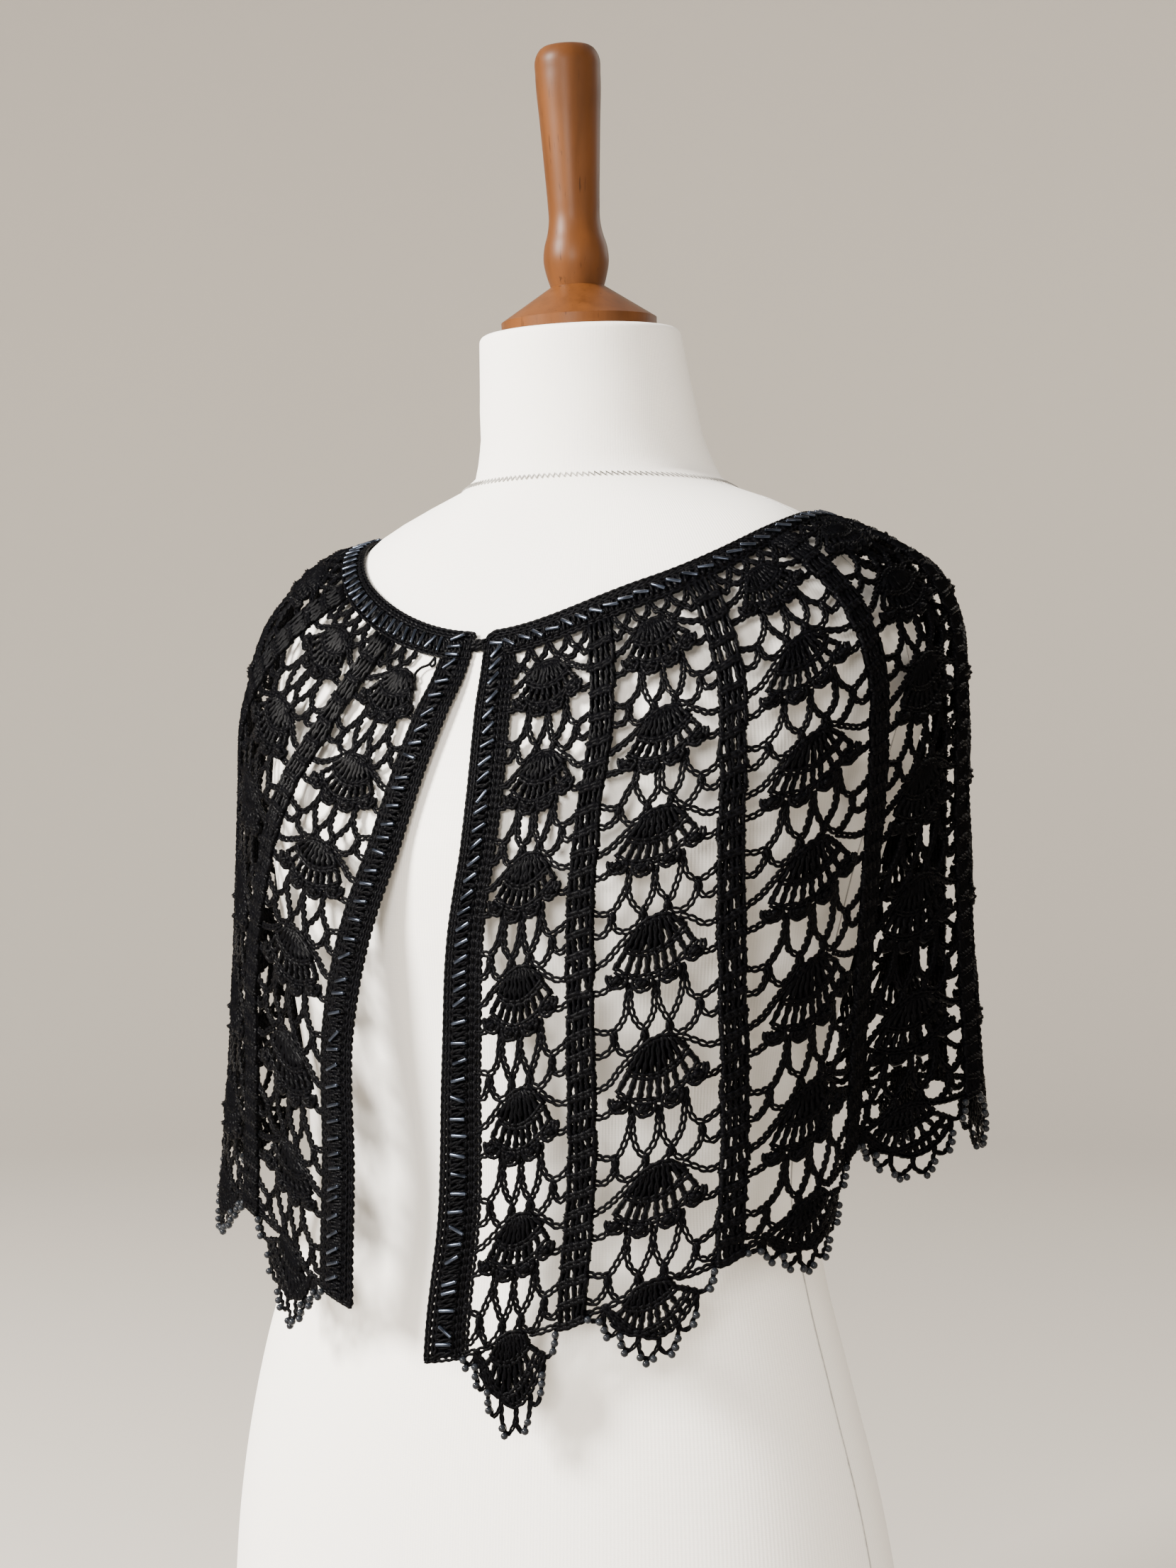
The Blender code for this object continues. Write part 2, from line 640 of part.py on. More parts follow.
def main():
    clear_scene()
    make_form()
    make_stand_and_finial()
    make_neck_border()
    make_neck_link()
    for hand in (1, -1):
        make_front_border(hand)
        for number in range(1, PANELS_PER_SIDE + 1):
            make_panel(hand, number)


main()
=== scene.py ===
"""Crochet lace cape with beaded borders, worn on a jersey-covered dress form.

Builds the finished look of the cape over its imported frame: every chain and post of the
lace as thread, the worked borders, the beads, the stretched jersey with its seams and the
turned wood. Metres, +Z up, the front faces -Y and the wearer's left is +X.
"""
import json
import math

import bpy
import numpy as np
from mathutils import Matrix, Vector

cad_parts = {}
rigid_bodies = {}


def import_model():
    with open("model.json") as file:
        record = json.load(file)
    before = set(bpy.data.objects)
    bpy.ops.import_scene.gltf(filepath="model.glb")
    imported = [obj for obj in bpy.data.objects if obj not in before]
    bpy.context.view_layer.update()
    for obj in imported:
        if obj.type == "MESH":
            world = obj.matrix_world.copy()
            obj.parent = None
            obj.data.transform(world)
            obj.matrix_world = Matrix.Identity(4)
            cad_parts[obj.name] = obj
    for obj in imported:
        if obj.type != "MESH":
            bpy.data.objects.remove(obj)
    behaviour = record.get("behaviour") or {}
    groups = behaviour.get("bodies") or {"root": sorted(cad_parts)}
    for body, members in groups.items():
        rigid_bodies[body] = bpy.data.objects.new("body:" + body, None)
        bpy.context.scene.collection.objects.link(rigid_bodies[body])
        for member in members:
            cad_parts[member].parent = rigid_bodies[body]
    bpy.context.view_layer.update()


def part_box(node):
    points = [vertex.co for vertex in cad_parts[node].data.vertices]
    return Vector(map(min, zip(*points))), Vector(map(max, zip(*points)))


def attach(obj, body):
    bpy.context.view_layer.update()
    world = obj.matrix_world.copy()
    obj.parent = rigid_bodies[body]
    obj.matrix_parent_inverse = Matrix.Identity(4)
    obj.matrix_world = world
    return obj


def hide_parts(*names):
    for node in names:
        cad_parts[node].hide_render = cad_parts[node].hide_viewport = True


bl_info = {
    "name": "Crochet cape on a dress form",
    "version": (1, 0, 0),
    "blender": (4, 5, 0),
    "location": "View3D > Sidebar > Cape",
    "description": "Works a beaded lace cape thread by thread over a dress form",
    "category": "Object",
}

for thing in list(bpy.data.objects):
    bpy.data.objects.remove(thing, do_unlink=True)
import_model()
TORSO_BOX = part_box("form_torso")

# Pattern of the lace: panels and ribs on each side of the centre back
PANELS_PER_SIDE = 7
FIRST_PANEL = 0.78
RIB_NECK_WIDTH = 0.0125
RIB_HEM_WIDTH = 0.0150
RIB_SPAN = 0.40
BORDER_TOP_WIDTH = 0.0160
BORDER_HEM_WIDTH = 0.0210
CAPE_LENGTH = 0.360
NECK_BORDER_SHARE = 0.036
SCALLOP_SHARE = 0.105
SCALLOP_LEAN = 0.24
SEAM = 0.0003
SHELL_TOPS = (0.062, 0.168, 0.298, 0.450, 0.620, 0.802, 0.985)
HEM_DROP = 0.130
SEEN_PANELS = {1: 3, -1: 2}

# Cape outline at each level, as its solids have it
CAPE_LEVELS = {
    "share":        (0.00, 0.08, 0.17, 0.26, 0.37, 0.55, 0.77, 1.00, 1.11),
    "half_width":   (0.125, 0.150, 0.176, 0.191, 0.195, 0.194, 0.194, 0.197, 0.197),
    "middle":       (-0.010, -0.012, -0.011, -0.008, -0.003, 0.000, 0.000, 0.000, 0.000),
    "front":        (0.107, 0.122, 0.138, 0.153, 0.163, 0.171, 0.176, 0.178, 0.178),
    "back":         (0.079, 0.097, 0.110, 0.120, 0.127, 0.132, 0.138, 0.145, 0.149),
    "z_front":      (0.6505, 0.618, 0.580, 0.546, 0.506, 0.444, 0.372, 0.302, 0.246),
    "z_chest":      (0.674, 0.647, 0.612, 0.581, 0.546, 0.487, 0.416, 0.350, 0.317),
    "z_side":       (0.7085, 0.699, 0.678, 0.650, 0.612, 0.552, 0.480, 0.412, 0.377),
    "z_blade":      (0.7145, 0.701, 0.690, 0.672, 0.640, 0.580, 0.498, 0.415, 0.378),
    "z_back":       (0.724, 0.700, 0.671, 0.641, 0.605, 0.544, 0.466, 0.387, 0.352),
    "left_corner":  (3.00, 3.00, 2.80, 2.50, 2.40, 2.35, 2.20, 2.10, 2.05),
    "right_corner": (2.15, 2.50, 2.60, 2.35, 2.20, 2.20, 2.15, 2.10, 2.10),
    "back_corner":  (2.25, 2.50, 2.90, 2.80, 2.70, 2.70, 2.70, 2.65, 2.60),
}
HEIGHTS = ("z_chest", "z_front", "z_chest", "z_side", "z_blade", "z_back", "z_blade")
HEIGHT_PLACES = (-0.25, 0.0, 0.25, 0.50, 0.75, 1.0, 1.25)
OPENING = {
    "share":      (0.00, 0.036, 0.06, 0.10, 0.17, 0.26, 0.37, 0.55, 0.77, 1.00, 1.11),
    "left_edge":  (0.0034, 0.0070, 0.0095, 0.0130, 0.0180, 0.0215, 0.0205, 0.0225, 0.0235,
                   0.0165, 0.0145),
    "right_edge": (-0.0014, -0.0006, -0.0004, -0.0025, -0.0070, -0.0128, -0.0225, -0.0310,
                   -0.0262, -0.0255, -0.0250),
}
RIGHT_FRONT_LIFT = 0.0225
RIGHT_FRONT_START = 0.2
RIGHT_FRONT_CREST = 0.7
RIGHT_SHOULDER_LIFT = 0.018
RIGHT_SHOULDER_COURSE = ((0.0, 0.12, 0.25, 0.50, 1.20), (0.4, 1.0, 0.8, 0.0, 0.0))
RIGHT_LIFT_PLACE = 0.36
RIGHT_LIFT_SPREAD = 0.12
GATHER_SHARE = 0.25
GATHER = {
    1: ((0.0, 0.018, 0.002, -0.024, -0.016, -0.005, 0.0, 0.0),
        (0.0, -0.016, -0.030, -0.024, -0.010, -0.003, 0.0, 0.0)),
    -1: ((0.0, 0.0, 0.012, 0.010, 0.0, 0.0, 0.0, 0.0),
         (0.0, -0.022, -0.014, -0.004, 0.0, 0.0, 0.0, 0.0)),
}
FOLDS = {
    "place":  (0.12, 0.25, 0.45, 0.60, 0.74, 0.87, 1.00, -0.16, -0.30, -0.46, -0.62, -0.78, -0.90),
    "spread": (0.050, 0.060, 0.070, 0.060, 0.040, 0.045, 0.050, 0.050, 0.060, 0.040, 0.055,
               0.045, 0.040),
    "depth":  (-0.004, 0.004, -0.024, 0.004, -0.012, 0.006, -0.007, -0.005, 0.006, -0.016,
               0.005, -0.010, 0.005),
    "start":  (0.40, 0.45, 0.36, 0.50, 0.42, 0.50, 0.45, 0.40, 0.45, 0.38, 0.50, 0.42, 0.50),
}
FOLD_MOST = 1.15
FOLD_POWER = 1.3

# Dress form outline at each height
FORM_SECTIONS = {
    "height":     (0.090, 0.120, 0.160, 0.220, 0.280, 0.330, 0.370, 0.410, 0.460, 0.510,
                   0.545, 0.580, 0.615, 0.640, 0.660, 0.680, 0.697, 0.711, 0.722, 0.7325,
                   0.750, 0.775, 0.8135),
    "half_width": (0.186, 0.190, 0.188, 0.179, 0.164, 0.149, 0.140, 0.141, 0.150, 0.161,
                   0.168, 0.176, 0.183, 0.185, 0.176, 0.159, 0.141, 0.125, 0.102, 0.073,
                   0.062, 0.058, 0.053),
    "front":      (0.151, 0.155, 0.156, 0.155, 0.150, 0.143, 0.138, 0.138, 0.144, 0.151,
                   0.151, 0.141, 0.126, 0.113, 0.102, 0.091, 0.083, 0.076, 0.070, 0.066,
                   0.065, 0.067, 0.072),
    "back":       (0.072, 0.075, 0.073, 0.064, 0.054, 0.050, 0.051, 0.056, 0.070, 0.087,
                   0.099, 0.109, 0.114, 0.114, 0.111, 0.105, 0.098, 0.090, 0.082, 0.072,
                   0.057, 0.045, 0.034),
    "middle":     (-0.039, -0.040, -0.042, -0.045, -0.048, -0.046, -0.044, -0.041, -0.037,
                   -0.032, -0.026, -0.017, -0.010, -0.008, -0.009, -0.010, -0.010, -0.009,
                   -0.005, -0.001, -0.005, -0.011, -0.019),
    "squareness": (2.2, 2.2, 2.2, 2.2, 2.2, 2.2, 2.2, 2.2, 2.2, 2.2, 2.25, 2.3, 2.35, 2.4,
                   2.4, 2.35, 2.2, 2.05, 2.0, 2.0, 2.0, 2.0, 2.0),
}
FORM_FOOT = 0.090
FORM_ROUNDING = 0.0035
SEAM_FOOT = 0.095
ZIGZAGS = 150
NECK_BASE = 0.7325
NECK_TOP = 0.8135
NECK_TOP_Y = -0.019
NECK_LEAN = math.radians(4.8)
BORDER_CLEARANCE = 0.0006
LACE_CLEARANCE = 0.0036
CLEARANCE_BLEND = 0.0012
CLEARANCE_RISE = 0.06

FINIAL_PROFILE = ((0.0410, 0.0000), (0.0412, 0.0062), (0.0142, 0.0240), (0.0157, 0.0290),
                  (0.0173, 0.0375), (0.0166, 0.0450), (0.0146, 0.0520), (0.0136, 0.0585),
                  (0.0138, 0.0680), (0.0148, 0.0880), (0.0160, 0.1100), (0.0172, 0.1340),
                  (0.0168, 0.1430), (0.0140, 0.1475), (0.0060, 0.1492))
BASE_PROFILE = ((0.138, 0.000), (0.140, 0.003), (0.139, 0.011), (0.130, 0.016), (0.024, 0.018))
POLE_RADIUS = 0.0125
SHARP_TURN = math.radians(38)

# One repeat of the lace. x is across the panel, 1 at its ribs; y is down from a shell's
# top, 1 at the next shell's top
TOP_ARC = (0.27, 0.00, 0.04)
MIDDLE_ARC = (0.50, 0.28, -0.11)
LOW_ARC = (0.67, 0.47, -0.16)
PICOTS = ((-0.64, 0.385), (-0.22, 0.49), (0.22, 0.49), (0.64, 0.385))
PICOT_ACROSS = np.array((-0.13, -0.12, 0.0, 0.12, 0.13))
PICOT_DOWN = np.array((-0.03, 0.035, 0.065, 0.035, -0.03))
PICOT_LEAN = -0.05
OUTER_SWAG = ((-1.06, 0.73), (-0.86, 0.785), (-0.70, 0.80), (-0.55, 0.72), (-0.46, 0.60),
              (-0.43, 0.46))
INNER_SWAG = ((-0.41, 0.46), (-0.42, 0.64), (-0.34, 0.80), (-0.20, 0.885), (-0.08, 0.80),
              (-0.02, 0.66), (-0.01, 0.52))
OUTER_LOOP = ((-1.06, 0.945), (-0.88, 0.985), (-0.78, 0.95), (-0.71, 0.82))
INNER_LOOP = ((-0.70, 0.82), (-0.64, 0.96), (-0.46, 1.035), (-0.28, 0.99), (-0.20, 0.90))
MIDDLE_LOOP = ((-0.20, 0.90), (-0.14, 0.99), (0.00, 1.025), (0.14, 0.99), (0.20, 0.90))
SHOULDER_CHAIN = ((-0.40, 0.055), (-0.62, 0.135), (-0.82, 0.205), (-1.06, 0.228))
SKIRT_CHAIN = ((-0.64, 0.37), (-0.76, 0.425), (-0.88, 0.445), (-1.06, 0.425))
NET_POSTS = ((-0.70, 0.80), (-0.20, 0.87), (0.20, 0.87), (0.70, 0.80))
NET_FEET = ((-0.71, 0.90), (-0.20, 0.97), (0.20, 0.97), (0.71, 0.90))
# Two rows of loops under the neck border: where each loop begins, and how far it falls
FIRST_LOOPS = (
    ((-1.0, -0.5, 0.0, 0.5, 1.0), (0.0, 0.013, 0.018, 0.013, 0.0)),
    ((-1.06, -0.75, -0.25, 0.25, 0.75, 1.06), (0.018, 0.026, 0.030, 0.026, 0.018)),
)
RIB_ROW_HEIGHT = 0.0102
RIB_POSTS = 5

# The torn place by the right neck corner: a snapped thread and four stubs
TORN_THREAD = 0.00056
TORN_EDGE = -0.2
TORN_ENDS = (
    ((-0.72, 0.037), (-0.62, 0.047), (-0.42, 0.053), (-0.34, 0.061), (-0.43, 0.068),
     (-0.26, 0.073), (0.00, 0.077), (0.10, 0.083)),
    ((-0.74, 0.038), (-0.80, 0.045), (-0.73, 0.049), (-0.66, 0.046)),
    ((-0.46, 0.098), (-0.44, 0.091), (-0.47, 0.083)),
    ((-0.40, 0.097), (-0.38, 0.089), (-0.35, 0.083)),
    ((-0.34, 0.094), (-0.30, 0.086), (-0.31, 0.080)),
)

# One link of a chain in three steps: how far its strands part, and how high they lie
LINK_PARTS = np.array((0.50, 1.0, 0.95))
LINK_RISES = np.array((0.75, 0.1, -0.6))
# How far a strand's corners stand out from its middle, in radii, by its number of sides
STRAND_CORNERS = {3: 1.5, 4: 1.25}

# Heights of the stitches off the cloth's inner face
LACE_LIFT = 0.0012
POST_LIFT = 0.0016
ARC_LIFT = 0.0017
PICOT_LIFT = 0.0020
RIB_LIFT = 0.0021
KNOT_LIFT = 0.0024

# Lengths along a chart line count a step down this many times as much as one across
CHART_STRETCH = 12

# How unevenly the stitches are worked, how far posts turn and how thick some are
SHARE_WOBBLE = 0.08
SHELL_WOBBLE = 0.02
NET_WOBBLE = 0.016
SIDE_WOBBLE = 0.012
NECK_WOBBLE = 0.01
RIB_WOBBLES = (0.016, 0.010)
SHORT_TURNS = 0.7
BORDER_TURNS = 0.8
CLOSE_THREAD = 1.15
PICOT_THREAD = 1.25
KNOT_THREAD = 1.3
RIB_THREAD = 1.5

# Where the lace begins and ends, as shares of the cape's length
LACE_TOP = NECK_BORDER_SHARE + 0.001
LACE_FOOT = 0.995
RIB_FOOT = 0.998

# The fan and the loops at the hem
HEM_MIDDLE_ARC = (0.40, 0.26, -0.10)
HEM_LOW_ARC = (0.60, 0.52, -0.26)
HEM_POSTS = 15
HEM_LOOP_SPREAD = 0.60
HEM_LOOP_STRAND = 0.80
HEM_CORNERS = (-0.74, -0.46, -0.16, 0.16, 0.46, 0.74)
HEM_EDGE = 0.992
CORNER_RISE = 0.036
LOOP_RISE = 0.006
LOOP_DEPTH = 0.008
LOOP_TURN = 0.10

# The worked strips: the distance in from the edge and the height of each chain, the
# cross stitches and the ground under them
FRONT_CHAINS = ((0.0016, 0.0014), (0.0045, 0.0015), (0.0125, 0.0015), (0.0147, 0.0013))
FRONT_POSTS = (0.0052, 0.0122)
FRONT_POST_STEP = 0.0080
FRONT_GROUND = (0.0030, 0.0060, 0.0092, 0.0124, 0.0156)
GROUND_HEIGHTS = (0.0004, 0.0012)
STRIP_LIFT = 0.0014
FRONT_FOOT = 0.997
NECK_CHAINS = ((0.0016, 0.0014), (0.0043, 0.0015), (0.0117, 0.0014))
NECK_CORNER_CHAINS = (0.0074, 0.0103)
NECK_CORNER_LIFT = 0.0015
NECK_CORNER_REACH = 0.017
NECK_CHAIN_REACH = 0.020
NECK_CORNER_TURN = {1: 0.0052, -1: 0.0010}
NECK_POSTS = 270
NECK_POST_SPAN = (0.0137, 0.0305)
LINK_TWISTS = ((0.0135, 0.0012), (0.0175, 0.0019), (0.0175, 0.0006), (0.0215, 0.0012))

# The wearer's sides; hand is 1 for the left and -1 for the right
SIDE_NAMES = {1: "left", -1: "right"}

# How closely the jersey's wales follow one another round the form, and its courses up it
WALES = 620.0
COURSES = 7500.0


def curve(keys, values, x):
    """Read a smooth curve through key and value pairs at x."""
    keys = np.asarray(keys, dtype=float)
    values = np.asarray(values, dtype=float)
    slopes = np.gradient(values, keys)
    x = np.clip(x, keys[0], keys[-1])
    row = np.clip(np.searchsorted(keys, x, side="right") - 1, 0, len(keys) - 2)
    step = keys[row + 1] - keys[row]
    u = (x - keys[row]) / step
    rise = u * u * (3 - 2 * u)
    lead = u * (1 - u) ** 2 * step * slopes[row]
    trail = u * u * (u - 1) * step * slopes[row + 1]
    return values[row] * (1 - rise) + values[row + 1] * rise + lead + trail


def unit(vectors):
    """Vectors brought to length 1 along their last axis."""
    return vectors / np.maximum(np.linalg.norm(vectors, axis=-1, keepdims=True), 1e-12)


def run_along(points):
    """Distance of each point from the first one along a line."""
    steps = np.linalg.norm(np.diff(points, axis=0), axis=1)
    return np.concatenate(([0.0], np.cumsum(steps)))


def mirrored(line):
    """A chart line on the other half of the panel."""
    return tuple((-x, y) for x, y in line)


def border_growth(share):
    """How much wider a front border is at a share of its length than at its top."""
    return 1 + (BORDER_HEM_WIDTH / BORDER_TOP_WIDTH - 1) * share


def form_section(height):
    """Half width, middle, front, back and squareness of the form at a height."""
    names = ("half_width", "middle", "front", "back", "squareness")
    return [curve(FORM_SECTIONS["height"], FORM_SECTIONS[name], height) for name in names]


def rest_on_form(x, y, z, clearance):
    """Push cloth outward until it clears the form."""
    half_width, middle, front, back, squareness = form_section(z)
    half_depth = np.where(y < middle, front + middle, back - middle)
    reach = np.hypot(x, y - middle)
    ratio = (np.abs(x / half_width) ** squareness
             + np.abs((y - middle) / half_depth) ** squareness) ** (1 / squareness)
    wanted = reach / ratio + clearance
    excess = (reach - wanted) / CLEARANCE_BLEND
    grow = (wanted + CLEARANCE_BLEND * np.logaddexp(0.0, excess)) / reach
    return x * grow, middle + (y - middle) * grow


class Cloth:
    """The cape's inner face, read from a fine grid of places round it and down it."""

    SIDES = np.linspace(-1.0, 1.0, 961)
    SHARES = np.linspace(0.0, 1.11, 223)

    def __init__(self):
        self.half = {1: np.zeros(len(self.SHARES)), -1: np.zeros(len(self.SHARES))}
        points = np.zeros((len(self.SHARES), len(self.SIDES), 3))
        for row, share in enumerate(self.SHARES):
            points[row] = self.level(row, share)
        across = np.gradient(points, axis=1)
        down = np.gradient(points, axis=0)
        self.points = points
        self.facing = unit(-np.cross(across, down))

    def outline(self, share, hand):
        """Half of the cape's outline at a level, by distance round it."""
        row = {name: float(curve(CAPE_LEVELS["share"], CAPE_LEVELS[name], share))
               for name in CAPE_LEVELS}
        angle = np.linspace(0.0, math.pi, 721)
        front_corner = row["left_corner"] if hand > 0 else row["right_corner"]
        power = 2 / np.where(angle <= math.pi / 2, front_corner, row["back_corner"])
        across = np.abs(np.sin(angle)) ** power
        along = np.sign(np.cos(angle)) * np.abs(np.cos(angle)) ** power
        middle = row["middle"]
        x = row["half_width"] * across
        y = middle - np.where(along > 0, row["front"] + middle, row["back"] - middle) * along
        run = np.concatenate(([0.0], np.cumsum(np.hypot(np.diff(x), np.diff(y)))))
        side = run / run[-1]
        z = curve(HEIGHT_PLACES, [row[name] for name in HEIGHTS], side)
        return side, x, y, z, np.gradient(y, run), -np.gradient(x, run), run[-1]

    def level(self, number, share):
        """Points all round the cape at one level."""
        around = np.abs(self.SIDES)
        left = self.SIDES >= 0
        rows = {}
        for hand in (1, -1):
            sides, *columns, length = self.outline(share, hand)
            self.half[hand][number] = length
            rows[hand] = [np.interp(around, sides, column) for column in columns]
        x, y, z, nx, ny = (np.where(left, a, b) for a, b in zip(rows[1], rows[-1]))
        push = self.folds(share)
        sign = np.where(left, 1.0, -1.0)
        x = (x + nx * push) * sign
        y = y + ny * push
        front_share = np.maximum(0.0, np.cos(math.pi * around)) ** 2
        front_share = front_share * (1 + RIGHT_FRONT_CREST * np.sin(2 * math.pi * around) ** 2)
        down = float(curve(*RIGHT_SHOULDER_COURSE, share))
        shoulder = down * np.exp(-((around - RIGHT_LIFT_PLACE) / RIGHT_LIFT_SPREAD) ** 2)
        lift = RIGHT_FRONT_LIFT * max(0.0, share - RIGHT_FRONT_START) * front_share
        z = z + np.where(left, 0.0, lift + RIGHT_SHOULDER_LIFT * shoulder)
        blend = min(max((share - NECK_BORDER_SHARE) / CLEARANCE_RISE, 0.0), 1.0)
        clearance = BORDER_CLEARANCE + (LACE_CLEARANCE - BORDER_CLEARANCE) * blend
        x, y = rest_on_form(x, y, z, clearance)
        return np.stack((x, y, z), axis=-1)

    def folds(self, share):
        """How far the folds push the cloth out all round a level."""
        depth = np.zeros(len(self.SIDES))
        for place, spread, fold, start in zip(*(FOLDS[name] for name in FOLDS)):
            away = (self.SIDES - place + 1) % 2 - 1
            grown = min(max((share - start) / (1 - start), 0.0), FOLD_MOST)
            depth += fold * np.exp(-(away / spread) ** 2) * grown ** FOLD_POWER
        return depth

    def half_round(self, share, hand):
        """Distance round half of the cape at a share of its length."""
        return np.interp(share, self.SHARES, self.half[hand])

    def read(self, side, share):
        """Points on the inner face and the way the cloth faces there."""
        side = (np.asarray(side, dtype=float) + 1) % 2 - 1
        share = np.asarray(share, dtype=float)
        column = (side + 1) / 2 * (len(self.SIDES) - 1)
        row = share / self.SHARES[-1] * (len(self.SHARES) - 1)
        i = np.clip(row.astype(int), 0, len(self.SHARES) - 2)
        j = np.clip(column.astype(int), 0, len(self.SIDES) - 2)
        u = (row - i)[..., None]
        v = (column - j)[..., None]
        found = []
        for grid in (self.points, self.facing):
            upper = grid[i, j] * (1 - v) + grid[i, j + 1] * v
            lower = grid[i + 1, j] * (1 - v) + grid[i + 1, j + 1] * v
            found.append(upper * (1 - u) + lower * u)
        return found[0], unit(found[1])

    def opening_edge(self, share, hand):
        """Place round the cape of a front edge."""
        name = "left_edge" if hand > 0 else "right_edge"
        return curve(OPENING["share"], OPENING[name], share) / self.half_round(share, hand)

    def panel_start(self, share, hand):
        """Place where the first panel of a side begins, past its front border."""
        width = BORDER_TOP_WIDTH + (BORDER_HEM_WIDTH - BORDER_TOP_WIDTH) * np.minimum(share, 1.0)
        inward = (width + SEAM) / self.half_round(share, hand)
        return self.opening_edge(share, hand) + hand * inward

    def rib_centre(self, share, hand, number):
        """Place of a rib's middle; the last rib is the centre back."""
        first = self.panel_start(share, hand)
        units = PANELS_PER_SIDE - 1 + FIRST_PANEL
        even = first + (hand - first) * (number - 1 + FIRST_PANEL) / units
        blend = np.minimum(share / GATHER_SHARE, 1.0)
        neck, hem = (table[number] for table in GATHER[hand])
        return even + neck * (1 - blend) + hem * blend

    def panel_place(self, x, share, hand, number):
        """Place of a point of a panel: x is -1 to 1 across it, and past 1 on its rib."""
        share = np.asarray(share, dtype=float)
        round_half = self.half_round(share, hand)
        width = RIB_NECK_WIDTH + (RIB_HEM_WIDTH - RIB_NECK_WIDTH) * np.minimum(share, 1.0)
        half = width / 2 / round_half
        seam = SEAM / round_half
        if number == 1:
            first = self.panel_start(share, hand)
        else:
            first = self.rib_centre(share, hand, number - 1) + hand * (half + seam)
        centre = self.rib_centre(share, hand, number)
        last = centre - hand * half
        if hand < 0 and number == PANELS_PER_SIDE:
            last = centre - hand * (half + seam)
        lace = first + (last - first) * (x + 1) / 2
        rib = last + hand * 2 * half * (x - 1) / RIB_SPAN
        return np.where(np.asarray(x) <= 1, lace, rib)

    def border_place(self, inward, share, hand):
        """Place of a point of a front border, from its distance in from the opening."""
        return self.opening_edge(share, hand) + hand * inward / self.half_round(share, hand)


class Gathered:
    """Gathers many small shapes into one mesh."""

    def __init__(self):
        self.points = []
        self.faces = []
        self.count = 0

    def add(self, points, faces):
        """Add a shape, given by its points and its faces."""
        self.points.append(points)
        self.faces.append(faces + self.count)
        self.count += len(points)

    def piece(self, name, finish, hidden_node=None):
        """Make the object, in place of the solid it stands for."""
        return mesh_piece(name, np.concatenate(self.points), self.faces, finish, hidden_node)


class Threads(Gathered):
    """Gathers round strands of thread into one mesh."""

    def __init__(self, chain_sides=4, post_sides=3):
        super().__init__()
        self.chain_sides = chain_sides
        self.post_sides = post_sides

    def strands(self, centres, facing, radius, sides=4):
        """Add strands that follow rows of centres, closed at their ends."""
        along = np.gradient(centres, axis=1)
        out = unit(np.cross(along, facing))
        up = unit(np.cross(out, along))
        many, places = centres.shape[:2]
        wide = radius * STRAND_CORNERS[sides]
        ring = []
        for turn in np.arange(sides) * 2 * math.pi / sides + math.pi / (4 if sides == 4 else 2):
            ring.append(centres + wide * (math.cos(turn) * out + math.sin(turn) * up))
        points = np.stack(ring, axis=2).reshape(many, places * sides, 3)
        body = np.array([(place * sides + k, place * sides + (k + 1) % sides,
                          (place + 1) * sides + (k + 1) % sides, (place + 1) * sides + k)
                         for place in range(places - 1) for k in range(sides)])
        last = (places - 1) * sides
        ends = np.array([tuple(reversed(range(sides))), tuple(range(last, last + sides))])
        starts = self.count + np.arange(many)[:, None, None] * places * sides
        self.points.append(points.reshape(-1, 3))
        self.faces.append((body[None] + starts).reshape(-1, 4))
        self.faces.append((ends[None] + starts).reshape(-1, sides))
        self.count += many * places * sides

    def tape(self, centre, facing, size, links=None, thick=1.0):
        """Add a chain along a line of points: each link springs from the one before."""
        run = run_along(centre)
        links = links or max(2, int(round(run[-1] / size["link"])))
        steps = links * 3 + 1
        at = np.linspace(0.0, run[-1], steps)
        middle, normal = (np.stack([np.interp(at, run, column) for column in line.T], axis=-1)
                          for line in (centre, facing))
        across = unit(np.cross(normal, np.gradient(middle, axis=0)))
        part = np.arange(steps) % 3
        swing = size["spread"] * LINK_PARTS[part, None] * across
        middle = middle + size["cross"] * LINK_RISES[part, None] * normal
        pair = np.stack((middle + swing, middle - swing))
        self.strands(pair, np.stack((normal, normal)), size["strand"] * thick, self.chain_sides)

    def twists(self, centre, facing, size, turns, start, thick=1.0):
        """Add two-strand posts that follow rows of centres."""
        across = unit(np.cross(facing, np.gradient(centre, axis=1)))
        phase = start[:, None] + np.linspace(0.0, 2 * math.pi * turns, centre.shape[1])[None]
        swing = size["post_spread"] * thick * np.sin(phase)[..., None] * across
        height = size["post_spread"] * thick * np.cos(phase)[..., None] * facing
        radius = size["post_strand"] * thick
        self.strands(centre + swing + height, facing, radius, self.post_sides)
        self.strands(centre - swing - height, facing, radius, self.post_sides)

    def lay(self, side, share, lift, size):
        """Add a chain along a line of places on the cape."""
        centre, facing = CLOTH.read(side, share)
        self.tape(centre + facing * lift, facing, size)


